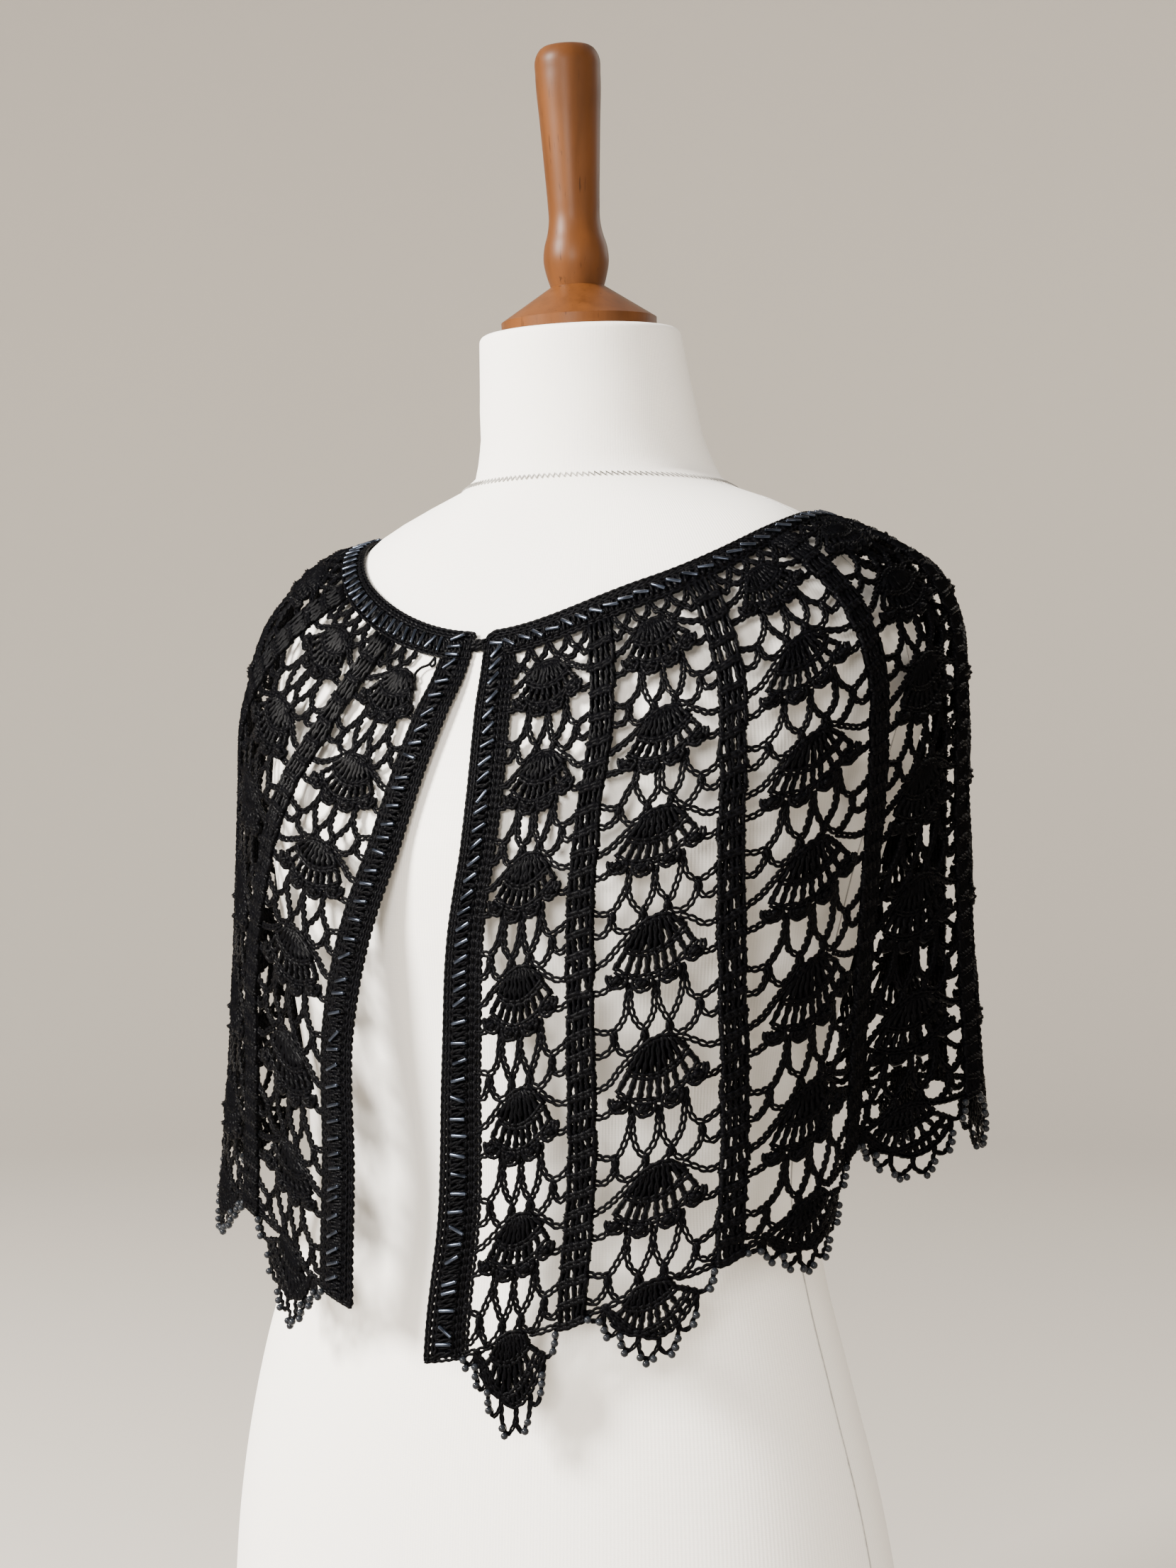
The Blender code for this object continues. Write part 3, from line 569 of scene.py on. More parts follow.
def mesh_piece(name, points, faces, finish, hidden_node=None):
    """Make a piece from points and blocks of faces with three or four corners."""
    mesh = bpy.data.meshes.new(name)
    mesh.vertices.add(len(points))
    mesh.vertices.foreach_set("co", np.asarray(points, dtype=np.float32).reshape(-1))
    blocks = [np.asarray(block, dtype=np.int32) for block in faces]
    corners = np.concatenate([block.reshape(-1) for block in blocks])
    sizes = np.concatenate([np.full(len(block), block.shape[1]) for block in blocks])
    starts = np.concatenate(([0], np.cumsum(sizes)[:-1])).astype(np.int32)
    mesh.loops.add(len(corners))
    mesh.loops.foreach_set("vertex_index", corners)
    mesh.polygons.add(len(sizes))
    mesh.polygons.foreach_set("loop_start", starts)
    mesh.update(calc_edges=True)
    mesh.validate()
    mesh.shade_smooth()
    mesh.materials.append(finish)
    made = bpy.data.objects.new(name, mesh)
    bpy.context.scene.collection.objects.link(made)
    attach(made, "root")
    if hidden_node:
        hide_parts(hidden_node)
    return made


def grid_faces(rows, columns, closed=False):
    """Four-cornered faces over a grid of points."""
    faces = []
    for i in range(rows - 1):
        for j in range(columns if closed else columns - 1):
            after = (j + 1) % columns
            faces.append((i * columns + j, i * columns + after,
                          (i + 1) * columns + after, (i + 1) * columns + j))
    return faces


def end_caps(rings, sides):
    """Flat ends of four-cornered faces on a grid of points that is closed round."""
    faces = []
    last = (rings - 1) * sides
    for j in range(sides // 2 - 1):
        faces.append((sides - j - 1, sides - j - 2, j + 1, j))
        faces.append((last + j, last + j + 1, last + sides - j - 2, last + sides - j - 1))
    return faces


CLOTH = Cloth()


# Shader node groups and materials

def new_group(name, inputs, outputs):
    """An empty shader node group with named sockets."""
    group = bpy.data.node_groups.new(name, "ShaderNodeTree")
    for label, kind, value in inputs:
        socket = group.interface.new_socket(name=label, in_out="INPUT", socket_type=kind)
        if value is not None:
            socket.default_value = value
    for label, kind in outputs:
        group.interface.new_socket(name=label, in_out="OUTPUT", socket_type=kind)
    return group, group.nodes.new("NodeGroupInput"), group.nodes.new("NodeGroupOutput")


def set_inputs(node, values):
    """Set inputs of a node by their names."""
    for name, value in values.items():
        node.inputs[name].default_value = value


def scaled(colour, factor):
    """A colour made darker or brighter."""
    return tuple(value * factor for value in colour)


def noise(tree, place, scale, detail=2.0, stretch=(1.0, 1.0, 1.0)):
    """A noise texture in the object's own coordinates, stretched by axis."""
    mapping = tree.nodes.new("ShaderNodeMapping")
    mapping.inputs["Scale"].default_value = stretch
    tree.links.new(place, mapping.inputs["Vector"])
    made = tree.nodes.new("ShaderNodeTexNoise")
    set_inputs(made, {"Scale": scale, "Detail": detail})
    tree.links.new(mapping.outputs["Vector"], made.inputs["Vector"])
    return made.outputs["Fac"]


def spread(tree, value, low, high, to_low, to_high):
    """Map a value from one range to another."""
    made = tree.nodes.new("ShaderNodeMapRange")
    set_inputs(made, {"From Min": low, "From Max": high, "To Min": to_low, "To Max": to_high})
    tree.links.new(value, made.inputs["Value"])
    return made.outputs["Result"]


def math_node(tree, operation, first, second=None):
    """A math node fed by sockets or numbers."""
    made = tree.nodes.new("ShaderNodeMath")
    made.operation = operation
    for socket, value in zip(made.inputs, (first, second)):
        if value is None:
            continue
        if isinstance(value, (int, float)):
            socket.default_value = value
        else:
            tree.links.new(value, socket)
    return made.outputs[0]


def mix_colour(tree, factor, first, second):
    """Mix two colours, given as sockets or values."""
    made = tree.nodes.new("ShaderNodeMix")
    made.data_type = "RGBA"
    for name, value in (("Factor", factor), ("A", first), ("B", second)):
        socket = next(s for s in made.inputs if s.name == name and s.enabled)
        if isinstance(value, (int, float, tuple)):
            socket.default_value = value
        else:
            tree.links.new(value, socket)
    return next(s for s in made.outputs if s.enabled)


def mottle_group():
    """Uneven tone: one noise that shifts a colour and a roughness."""
    found = bpy.data.node_groups.get("Uneven tone")
    if found:
        return found
    group, given, put = new_group(
        "Uneven tone",
        (("Colour", "NodeSocketColor", (0.5, 0.5, 0.5, 1.0)),
         ("Deep colour", "NodeSocketColor", (0.4, 0.4, 0.4, 1.0)),
         ("Patch scale", "NodeSocketFloat", 20.0),
         ("Roughness", "NodeSocketFloat", 0.5),
         ("Roughness shift", "NodeSocketFloat", 0.1)),
        (("Colour", "NodeSocketColor"), ("Roughness", "NodeSocketFloat")))
    place = group.nodes.new("ShaderNodeTexCoord").outputs["Object"]
    patch = group.nodes.new("ShaderNodeTexNoise")
    patch.inputs["Detail"].default_value = 4.0
    group.links.new(place, patch.inputs["Vector"])
    group.links.new(given.outputs["Patch scale"], patch.inputs["Scale"])
    mask = spread(group, patch.outputs["Fac"], 0.3, 0.7, 0.0, 1.0)
    tone = mix_colour(group, mask, given.outputs["Colour"], given.outputs["Deep colour"])
    shift = math_node(group, "MULTIPLY", math_node(group, "SUBTRACT", mask, 0.5),
                      given.outputs["Roughness shift"])
    roughness = math_node(group, "ADD", given.outputs["Roughness"], shift)
    group.links.new(tone, put.inputs["Colour"])
    group.links.new(roughness, put.inputs["Roughness"])
    return group


def start_material(name, colour, deep, patch, roughness, shift):
    """A material whose colour and roughness come from the uneven tone group."""
    made = bpy.data.materials.new(name)
    made.use_nodes = True
    tree = made.node_tree
    shader = tree.nodes["Principled BSDF"]
    tone = tree.nodes.new("ShaderNodeGroup")
    tone.node_tree = mottle_group()
    set_inputs(tone, {"Colour": (*colour, 1.0), "Deep colour": (*deep, 1.0),
                      "Patch scale": patch, "Roughness": roughness, "Roughness shift": shift})
    tree.links.new(tone.outputs["Colour"], shader.inputs["Base Color"])
    tree.links.new(tone.outputs["Roughness"], shader.inputs["Roughness"])
    place = tree.nodes.new("ShaderNodeTexCoord").outputs["Object"]
    return made, tree, shader, place


def add_bump(tree, shader, height, strength, distance):
    """Raise a surface by a height value."""
    bump = tree.nodes.new("ShaderNodeBump")
    set_inputs(bump, {"Strength": strength, "Distance": distance})
    tree.links.new(height, bump.inputs["Height"])
    tree.links.new(bump.outputs["Normal"], shader.inputs["Normal"])


def cotton_material(colour, gloss):
    """Black mercerised crochet cotton: plied thread with a soft sheen."""
    found = bpy.data.materials.get("Black crochet cotton")
    if found:
        return found
    made, tree, shader, place = start_material(
        "Black crochet cotton", colour, scaled(colour, 0.5), patch=160.0, roughness=gloss,
        shift=0.18)
    fibres = noise(tree, place, scale=2600.0)
    ply = tree.nodes.new("ShaderNodeTexWave")
    ply.wave_type = "BANDS"
    ply.bands_direction = "DIAGONAL"
    set_inputs(ply, {"Scale": 520.0, "Distortion": 3.0})
    tree.links.new(place, ply.inputs["Vector"])
    height = math_node(tree, "ADD", ply.outputs["Fac"], fibres)
    add_bump(tree, shader, height, strength=0.35, distance=0.0002)
    set_inputs(shader, {"Specular IOR Level": 0.025})
    return made


def jersey_material(colour):
    """Cream stretch jersey: fine upright wales over a soft padded shell."""
    made, tree, shader, place = start_material(
        "Cream jersey", colour, scaled(colour, 0.965), patch=9.0, roughness=0.86, shift=0.06)
    parts = tree.nodes.new("ShaderNodeSeparateXYZ")
    tree.links.new(place, parts.inputs["Vector"])
    turn = math_node(tree, "ARCTAN2", parts.outputs["Y"], parts.outputs["X"])
    wale = math_node(tree, "SINE", math_node(tree, "MULTIPLY", turn, WALES))
    course = math_node(tree, "SINE", math_node(tree, "MULTIPLY", parts.outputs["Z"], COURSES))
    loops = math_node(tree, "ADD", wale, math_node(tree, "MULTIPLY", course, 0.35))
    fuzz = noise(tree, place, scale=700.0)
    height = math_node(tree, "ADD", math_node(tree, "MULTIPLY", loops, 0.5), fuzz)
    add_bump(tree, shader, height, strength=0.22, distance=0.00025)
    set_inputs(shader, {"Sheen Weight": 0.12, "Sheen Roughness": 0.6,
                        "Specular IOR Level": 0.3})
    return made


def seam_material(colour):
    """Sewing thread along the form's seams."""
    made, tree, shader, place = start_material(
        "Seam thread", colour, scaled(colour, 0.55), patch=300.0, roughness=0.75, shift=0.1)
    add_bump(tree, shader, noise(tree, place, scale=3000.0), strength=0.3, distance=0.0001)
    return made


def wood_material(colour):
    """Turned wood: upright grain, dark flecks and a satin coat."""
    made, tree, shader, place = start_material(
        "Turned wood", colour, scaled(colour, 0.62), patch=16.0, roughness=0.42, shift=0.12)
    grain = noise(tree, place, scale=150.0, detail=5.0, stretch=(1.0, 1.0, 0.07))
    bands = noise(tree, place, scale=42.0, stretch=(1.0, 1.0, 0.12))
    flecks = noise(tree, place, scale=620.0, stretch=(1.0, 1.0, 0.045))
    tone = shader.inputs["Base Color"].links[0].from_socket
    for pattern, low, high, share, factor in ((grain, 0.42, 0.68, 0.55, 0.55),
                                              (bands, 0.48, 0.66, 0.5, 1.35),
                                              (flecks, 0.66, 0.74, 0.75, 0.30)):
        tone = mix_colour(tree, spread(tree, pattern, low, high, 0.0, share), tone,
                          (*scaled(colour, factor), 1.0))
    tree.links.new(tone, shader.inputs["Base Color"])
    height = math_node(tree, "SUBTRACT", grain, math_node(tree, "MULTIPLY", flecks, 0.6))
    add_bump(tree, shader, height, strength=0.12, distance=0.0004)
    set_inputs(shader, {"Coat Weight": 0.02, "Coat Roughness": 0.28,
                        "Specular IOR Level": 0.12})
    return made


def bead_material(name, colour, painted_reflection_gain, roughness, metal, shine):
    """Dark glass with painted reflection: brighter noise patches stand in for beads that catch
    light.
    """
    # The brighter colour of the painted reflection patches: the bead's colour times the gain, at
    # most 1
    painted_reflection_colour = tuple(min(value * painted_reflection_gain, 1.0) for value in colour)
    made, tree, shader, place = start_material(
        name, colour, painted_reflection_colour, patch=110.0, roughness=roughness, shift=0.06)
    set_inputs(shader, {"Metallic": metal, "Specular IOR Level": shine})
    add_bump(tree, shader, noise(tree, place, scale=900.0), strength=0.06, distance=0.0002)
    return made


# Settings that a user would change

class CapeYarnSettings(bpy.types.PropertyGroup):
    """Sizes and colour of the crochet thread."""
    link_length: bpy.props.FloatProperty(
        name="Link length", description="Length of one chain link",
        default=0.0039, unit="LENGTH", precision=5)
    link_spread: bpy.props.FloatProperty(
        name="Link spread", description="How far a link's strand swings from the chain's middle",
        default=0.00104, unit="LENGTH", precision=5)
    strand_radius: bpy.props.FloatProperty(
        name="Strand radius", description="Radius of the strands in a chain",
        default=0.00078, unit="LENGTH", precision=5)
    post_radius: bpy.props.FloatProperty(
        name="Post strand radius", description="Radius of the strands in an upright stitch",
        default=0.00094, unit="LENGTH", precision=5)
    colour: bpy.props.FloatVectorProperty(
        name="Thread colour", description="Colour of the crochet cotton", subtype="COLOR",
        default=(0.0020, 0.0020, 0.0026), min=0.0, max=1.0)
    gloss: bpy.props.FloatProperty(
        name="Thread roughness", description="Lower is shinier", default=0.32, subtype="FACTOR")


class CapeBeadSettings(bpy.types.PropertyGroup):
    """Sizes and colours of the beads."""
    bugle_length: bpy.props.FloatProperty(
        name="Bugle length", description="Length of a bugle bead",
        default=0.0078, unit="LENGTH", precision=5)
    bugle_radius: bpy.props.FloatProperty(
        name="Bugle radius", description="Radius of a bugle bead",
        default=0.00094, unit="LENGTH", precision=5)
    round_radius: bpy.props.FloatProperty(
        name="Round bead radius", description="Radius of a hem bead",
        default=0.0019, unit="LENGTH", precision=5)
    bugle_colour: bpy.props.FloatVectorProperty(
        name="Bugle colour", description="Gunmetal blue of the bugle beads", subtype="COLOR",
        default=(0.007, 0.0085, 0.0120), min=0.0, max=1.0)
    round_colour: bpy.props.FloatVectorProperty(
        name="Round bead colour", description="Dark grey of the hem beads", subtype="COLOR",
        default=(0.006, 0.007, 0.009), min=0.0, max=1.0)


class CapeFormSettings(bpy.types.PropertyGroup):
    """Fineness and colours of the dress form."""
    rings: bpy.props.IntProperty(
        name="Rings", description="Rings of points up the padded body", default=100, min=40)
    sides: bpy.props.IntProperty(
        name="Sides", description="Points round the padded body", default=96, min=40)
    jersey_colour: bpy.props.FloatVectorProperty(
        name="Jersey colour", description="Cream of the jersey", subtype="COLOR",
        default=(0.88, 0.85, 0.80), min=0.0, max=1.0)
    wood_colour: bpy.props.FloatVectorProperty(
        name="Wood colour", description="Brown of the finial, pole and base", subtype="COLOR",
        default=(0.088, 0.030, 0.0075), min=0.0, max=1.0)


class CapeStageSettings(bpy.types.PropertyGroup):
    """Light and ground of the studio."""
    ground_colour: bpy.props.FloatVectorProperty(
        name="Ground colour", description="Pale floor and sweep", subtype="COLOR",
        default=(0.50, 0.462, 0.41), min=0.0, max=1.0)
    key_power: bpy.props.FloatProperty(
        name="Key light", description="Power of the large soft light at the left",
        default=370.0, unit="POWER")
    fill_power: bpy.props.FloatProperty(
        name="Fill light", description="Power of the weak lights at the right and back",
        default=12.0, unit="POWER")
    front_power: bpy.props.FloatProperty(
        name="Front light", description="Power of the light beside the camera",
        default=55.0, unit="POWER")
    focal_length: bpy.props.FloatProperty(
        name="Focal length", description="Lens of the camera, in millimetres", default=55.1)


def yarn_tools(context):
    """The thread's sizes and its material from the settings."""
    yarn = context.scene.cape_yarn
    sizes = {"link": yarn.link_length, "spread": yarn.link_spread,
             "cross": yarn.strand_radius * 0.75, "strand": yarn.strand_radius,
             "post_strand": yarn.post_radius, "post_spread": yarn.post_radius * 0.70}
    return sizes, cotton_material(tuple(yarn.colour), yarn.gloss)


# Lace

class PanelWork:
    """Works the stitches of one lace panel from its chart."""

    def __init__(self, hand, number, sizes):
        self.hand = hand
        self.number = number
        self.sizes = sizes
        self.threads = Threads(4 if number <= SEEN_PANELS[hand] else 3)
        self.luck = np.random.default_rng(100 + number + (50 if hand < 0 else 0))

    def on_cloth(self, x, share, lift):
        """Points on the panel and the way they face, raised off the inner face."""
        side = CLOTH.panel_place(np.asarray(x, dtype=float), share, self.hand, self.number)
        points, facing = CLOTH.read(side, share)
        return points + facing * lift, facing

    def chain(self, x, share, lift=LACE_LIFT, links=None, wobble=0.0, thick=1.0):
        """A chain that follows a smooth line through chart points."""
        steps = np.hypot(np.diff(x), np.diff(share) * CHART_STRETCH) + 1e-6
        keys = np.concatenate(([0.0], np.cumsum(steps)))
        at = np.linspace(0.0, keys[-1], 8 * len(keys))
        if wobble:
            free = np.ones(len(x))
            free[[0, -1]] = 0
            x = x + self.luck.normal(0, wobble, len(x)) * free
            share = share + self.luck.normal(0, wobble * SHARE_WOBBLE, len(x)) * free
        centre, facing = self.on_cloth(curve(keys, x, at), curve(keys, share, at), lift)
        self.threads.tape(centre, facing, self.sizes, links, thick)

    def posts(self, starts, ends, lift=LACE_LIFT, turns=1.2, places=5, thick=1.0):
        """Upright stitches between two rows of chart points."""
        starts = np.asarray(starts, dtype=float)
        ends = np.asarray(ends, dtype=float)
        step = np.linspace(0.0, 1.0, places)[None, :, None]
        line = starts[:, None] * (1 - step) + ends[:, None] * step
        centre, facing = self.on_cloth(line[..., 0], line[..., 1], lift)
        start = self.luck.uniform(0, 2 * math.pi, len(starts))
        self.threads.twists(centre, facing, self.sizes, turns, start, thick)

    def arc(self, shape, u, top, drop):
        """Chart points on one of the shell's arcs."""
        width, middle, fall = shape
        return width * u, top + drop * (middle + fall * u * u)

    def shell(self, top, drop, middle_arc, low_arc):
        """Two rows of upright stitches that fan out from one place, the upper one close."""
        u = np.linspace(-1, 1, 9)
        for upper, lower, thick, places in ((TOP_ARC, middle_arc, CLOSE_THREAD, 4),
                                            (middle_arc, low_arc, 1.0, 5)):
            loose = u + self.luck.normal(0, SHELL_WOBBLE, len(u))
            self.posts(np.stack(self.arc(upper, u * 0.96, top, drop), axis=-1),
                       np.stack(self.arc(lower, loose, top, drop), axis=-1),
                       thick=thick, places=places)
        for shape in (TOP_ARC, middle_arc, low_arc):
            x, share = self.arc(shape, np.linspace(-1, 1, 7), top, drop)
            self.chain(x, share, lift=ARC_LIFT, thick=CLOSE_THREAD)

    def picots(self, top, drop):
        """The knotted bumps along a shell's foot."""
        for x, y in PICOTS:
            down = PICOT_DOWN + PICOT_LEAN * x * PICOT_ACROSS * 6
            self.chain(x + PICOT_ACROSS, top + drop * (y + down), lift=PICOT_LIFT, links=4,
                       thick=PICOT_THREAD)
            self.posts([(x - 0.08, top + drop * (y + 0.005))],
                       [(x + 0.08, top + drop * (y + 0.02))],
                       lift=KNOT_LIFT, places=4, turns=SHORT_TURNS, thick=KNOT_THREAD)

    def net(self, top, drop):
        """The chain loops that hang from a shell and carry the next one."""
        swags = (OUTER_SWAG, INNER_SWAG, mirrored(INNER_SWAG)[::-1], mirrored(OUTER_SWAG)[::-1])
        loops = (OUTER_LOOP, INNER_LOOP, MIDDLE_LOOP, mirrored(INNER_LOOP)[::-1],
                 mirrored(OUTER_LOOP)[::-1])
        for line in swags + loops:
            x, y = np.array(line).T
            self.chain(x, top + drop * y, wobble=NET_WOBBLE)
        starts, ends = ([(x, top + drop * y) for x, y in row] for row in (NET_POSTS, NET_FEET))
        self.posts(starts, ends, places=4, turns=SHORT_TURNS)

    def side_chains(self, top, drop, torn):
        """Chains from a shell's shoulders out to the ribs."""
        lines = (SHOULDER_CHAIN, mirrored(SHOULDER_CHAIN), SKIRT_CHAIN, mirrored(SKIRT_CHAIN))
        for line in lines[1 if torn else 0:]:
            x, y = np.array(line).T
            self.chain(x, top + drop * y, wobble=SIDE_WOBBLE)

    def first_loops(self, torn):
        """Loops that join the lace to the neck border, where they aren't torn away."""
        for edges, down in FIRST_LOOPS:
            for left, right in zip(edges[:-1], edges[1:]):
                if not (torn and left < TORN_EDGE):
                    self.chain(np.linspace(left, right, 5), LACE_TOP + np.array(down),
                               wobble=NECK_WOBBLE)

    def loose_ends(self):
        """The snapped thread and frayed stubs that hang in the torn place."""
        for line in TORN_ENDS:
            x, share = np.array(line).T
            keys = np.arange(len(x), dtype=float)
            at = np.linspace(0.0, keys[-1], 6 * len(x))
            centre, facing = self.on_cloth(curve(keys, x, at), curve(keys, share, at), POST_LIFT)
            self.threads.strands(centre[None], facing[None], TORN_THREAD)

    def rib(self):
        """Rows of upright stitches down the rib past the panel."""
        count = int(round((RIB_FOOT - NECK_BORDER_SHARE) * CAPE_LENGTH / RIB_ROW_HEIGHT))
        rows = np.linspace(LACE_TOP, RIB_FOOT, count + 1)
        x = 1 + RIB_SPAN * (np.arange(RIB_POSTS) + 0.5) / RIB_POSTS
        edge = np.linspace(1.02, 1 + RIB_SPAN - 0.02, 4)
        for upper, lower in zip(rows[:-1], rows[1:]):
            feet, heads = (x + self.luck.normal(0, wobble, RIB_POSTS) for wobble in RIB_WOBBLES)
            self.posts(np.stack((heads, np.full(RIB_POSTS, upper)), axis=-1),
                       np.stack((feet, np.full(RIB_POSTS, lower)), axis=-1), lift=RIB_LIFT,
                       places=4)
            level = lower + self.luck.normal(0, 0.0012, len(edge))
            self.chain(edge, level, lift=RIB_LIFT + 0.0004, thick=RIB_THREAD)

    def hem(self, top):
        """The last shell: a long fan, with beaded loops round the scallop."""
        self.shell(top, HEM_DROP, HEM_MIDDLE_ARC, HEM_LOW_ARC)
        for line in (SHOULDER_CHAIN, mirrored(SHOULDER_CHAIN)):
            x, y = np.array(line).T
            self.chain(x, np.minimum(top + HEM_DROP * y, LACE_FOOT))
        corners = hem_corners()
        x = np.linspace(corners[1][0], corners[-2][0], HEM_POSTS)
        feet = np.interp(x, *np.array(corners).T)
        self.posts(np.stack(self.arc(HEM_LOW_ARC, x / abs(x[0]), top, HEM_DROP), axis=-1),
                   np.stack((x, feet), axis=-1))
        self.chain(x[::2], feet[::2], lift=ARC_LIFT)
        whole = self.sizes
        self.sizes = {**whole, "spread": whole["spread"] * HEM_LOOP_SPREAD,
                      "strand": whole["strand"] * HEM_LOOP_STRAND}
        for x, share in hem_loops():
            self.chain(x, share)
        self.sizes = whole


def scallop_foot(x):
    """How far down a panel's foot reaches at a place across it, deepest past its middle."""
    place = x - SCALLOP_LEAN * (1 - min(x * x, 1.0))
    return 1 + SCALLOP_SHARE * math.cos(math.pi / 2 * min(abs(place), 1.0)) ** 0.9


def hem_corners():
    """Chart points that the hem's beaded loops hang between."""
    between = [(x, scallop_foot(x) - CORNER_RISE) for x in HEM_CORNERS]
    return [(-1.0, HEM_EDGE), *between, (1.0, HEM_EDGE)]


def hem_loops():
    """Chart lines of the loops round a scallop."""
    loops = []
    corners = hem_corners()
    for (x0, s0), (x1, s1) in zip(corners[:-1], corners[1:]):
        middle = (x0 + x1) / 2
        low = scallop_foot(middle) - LOOP_RISE
        turn = (x1 - x0) * LOOP_TURN
        x = np.array([x0, x0 + turn, middle, x1 - turn, x1])
        share = np.array([s0, s0 * 0.35 + low * 0.65, max(low, (s0 + s1) / 2 + LOOP_DEPTH),
                          s1 * 0.35 + low * 0.65, s1])
        loops.append((x, share))
    return loops


class CAPE_OT_lace_panels(bpy.types.Operator):
    """Work the fourteen lace panels and their ribs"""
    bl_idname = "cape.lace_panels"
    bl_label = "Lace panels"

    def execute(self, context):
        sizes, finish = yarn_tools(context)
        for hand in (1, -1):
            for number in range(1, PANELS_PER_SIDE + 1):
                self.work(hand, number, sizes, finish)
        return {"FINISHED"}

    def work(self, hand, number, sizes, finish):
        work = PanelWork(hand, number, sizes)
        torn = hand < 0 and number == 1
        work.first_loops(torn)
        if torn:
            work.loose_ends()
        for top, foot in zip(SHELL_TOPS[:-1], SHELL_TOPS[1:]):
            work.shell(top, foot - top, MIDDLE_ARC, LOW_ARC)
            work.picots(top, foot - top)
            work.net(top, foot - top)
            work.side_chains(top, foot - top, torn and top == SHELL_TOPS[0])
        work.hem(SHELL_TOPS[-1])
        if number == 1:
            share = np.linspace(LACE_TOP, LACE_FOOT, 30)
            work.chain(np.full(len(share), -0.975), share)
        node = f"lace_panel_{SIDE_NAMES[hand]}_{number}"
        made = work.threads.piece(f"{node}_threads", finish, node)
        if not (hand < 0 and number == PANELS_PER_SIDE):
            work.threads = Threads(work.threads.chain_sides)
            work.rib()
            work.threads.piece(f"{node}_rib", finish)


class CAPE_OT_front_borders(bpy.types.Operator):
    """Work the solid strips down the two front edges"""
    bl_idname = "cape.front_borders"
    bl_label = "Front borders"

    def execute(self, context):
        sizes, finish = yarn_tools(context)
        for hand in (1, -1):
            self.work(hand, sizes, finish)
        return {"FINISHED"}

    def work(self, hand, sizes, finish):
        """Work one border: a ground, edge chains, cross stitches and an inner column."""
        node = f"front_border_{SIDE_NAMES[hand]}"
        threads = Threads()
        share = np.linspace(LACE_TOP, RIB_FOOT, 140)
        for inward, lift in FRONT_CHAINS:
            place = CLOTH.border_place(inward * border_growth(share), share, hand)
            threads.lay(place, share, lift, sizes)
        self.cross_stitches(threads, sizes, hand)
        foot = np.linspace(0.001, BORDER_HEM_WIDTH - 0.001, 12)
        share = np.full(len(foot), FRONT_FOOT)
        threads.lay(CLOTH.border_place(foot, share, hand), share, STRIP_LIFT, sizes)
        over = threads.piece(f"{node}_threads", finish)
        ground = self.ground(hand, node, finish)

    def ground(self, hand, node, finish):
        """The close-worked ground under a border's stitches."""
        share = np.linspace(LACE_TOP, 0.996, 90)
        wide = border_growth(share)
        rows = [CLOTH.read(CLOTH.border_place(inward * wide, share, hand), share)
                for inward in FRONT_GROUND]
        return shell_piece(f"{node}_ground", rows, finish, node)

    def cross_stitches(self, threads, sizes, hand):
        """Short posts from the border's edge chains to its inner column."""
        luck = np.random.default_rng(7 + hand)
        rows = np.arange(NECK_BORDER_SHARE + 0.004, FRONT_FOOT, FRONT_POST_STEP)[:, None]
        tilt = luck.normal(0, 0.0012, len(rows))[:, None]
        step = np.linspace(0.0, 1.0, 5)[None]
        start, end = FRONT_POSTS
        inward = (start * (1 - step) + end * step) * border_growth(rows)
        share = rows + (step - 0.5) * (tilt / CAPE_LENGTH)
        centre, facing = CLOTH.read(CLOTH.border_place(inward, share, hand), share)
        threads.twists(centre + facing * POST_LIFT, facing, sizes, BORDER_TURNS,
                       luck.uniform(0, 6.28, len(rows)))


def shell_piece(name, rows, finish, node):
    """A thin closed shell over rows of cloth points, in place of a solid."""
    inner, outer = (np.stack([points + facing * lift for points, facing in rows])
                    for lift in GROUND_HEIGHTS)
    height, width = inner.shape[:2]
    points = np.concatenate((inner.reshape(-1, 3), outer.reshape(-1, 3)))
    count = height * width
    faces = grid_faces(height, width)
    back = [(d + count, c + count, b + count, a + count) for a, b, c, d in faces]
    rim = [j for j in range(width)] + [i * width + width - 1 for i in range(1, height)]
    rim += [(height - 1) * width + j for j in range(width - 2, -1, -1)]
    rim += [i * width for i in range(height - 2, 0, -1)]
    wall = [(b, a, a + count, b + count) for a, b in zip(rim, rim[1:] + rim[:1])]
    made = mesh_piece(name, points, [faces + back + wall], finish, node)
    return made


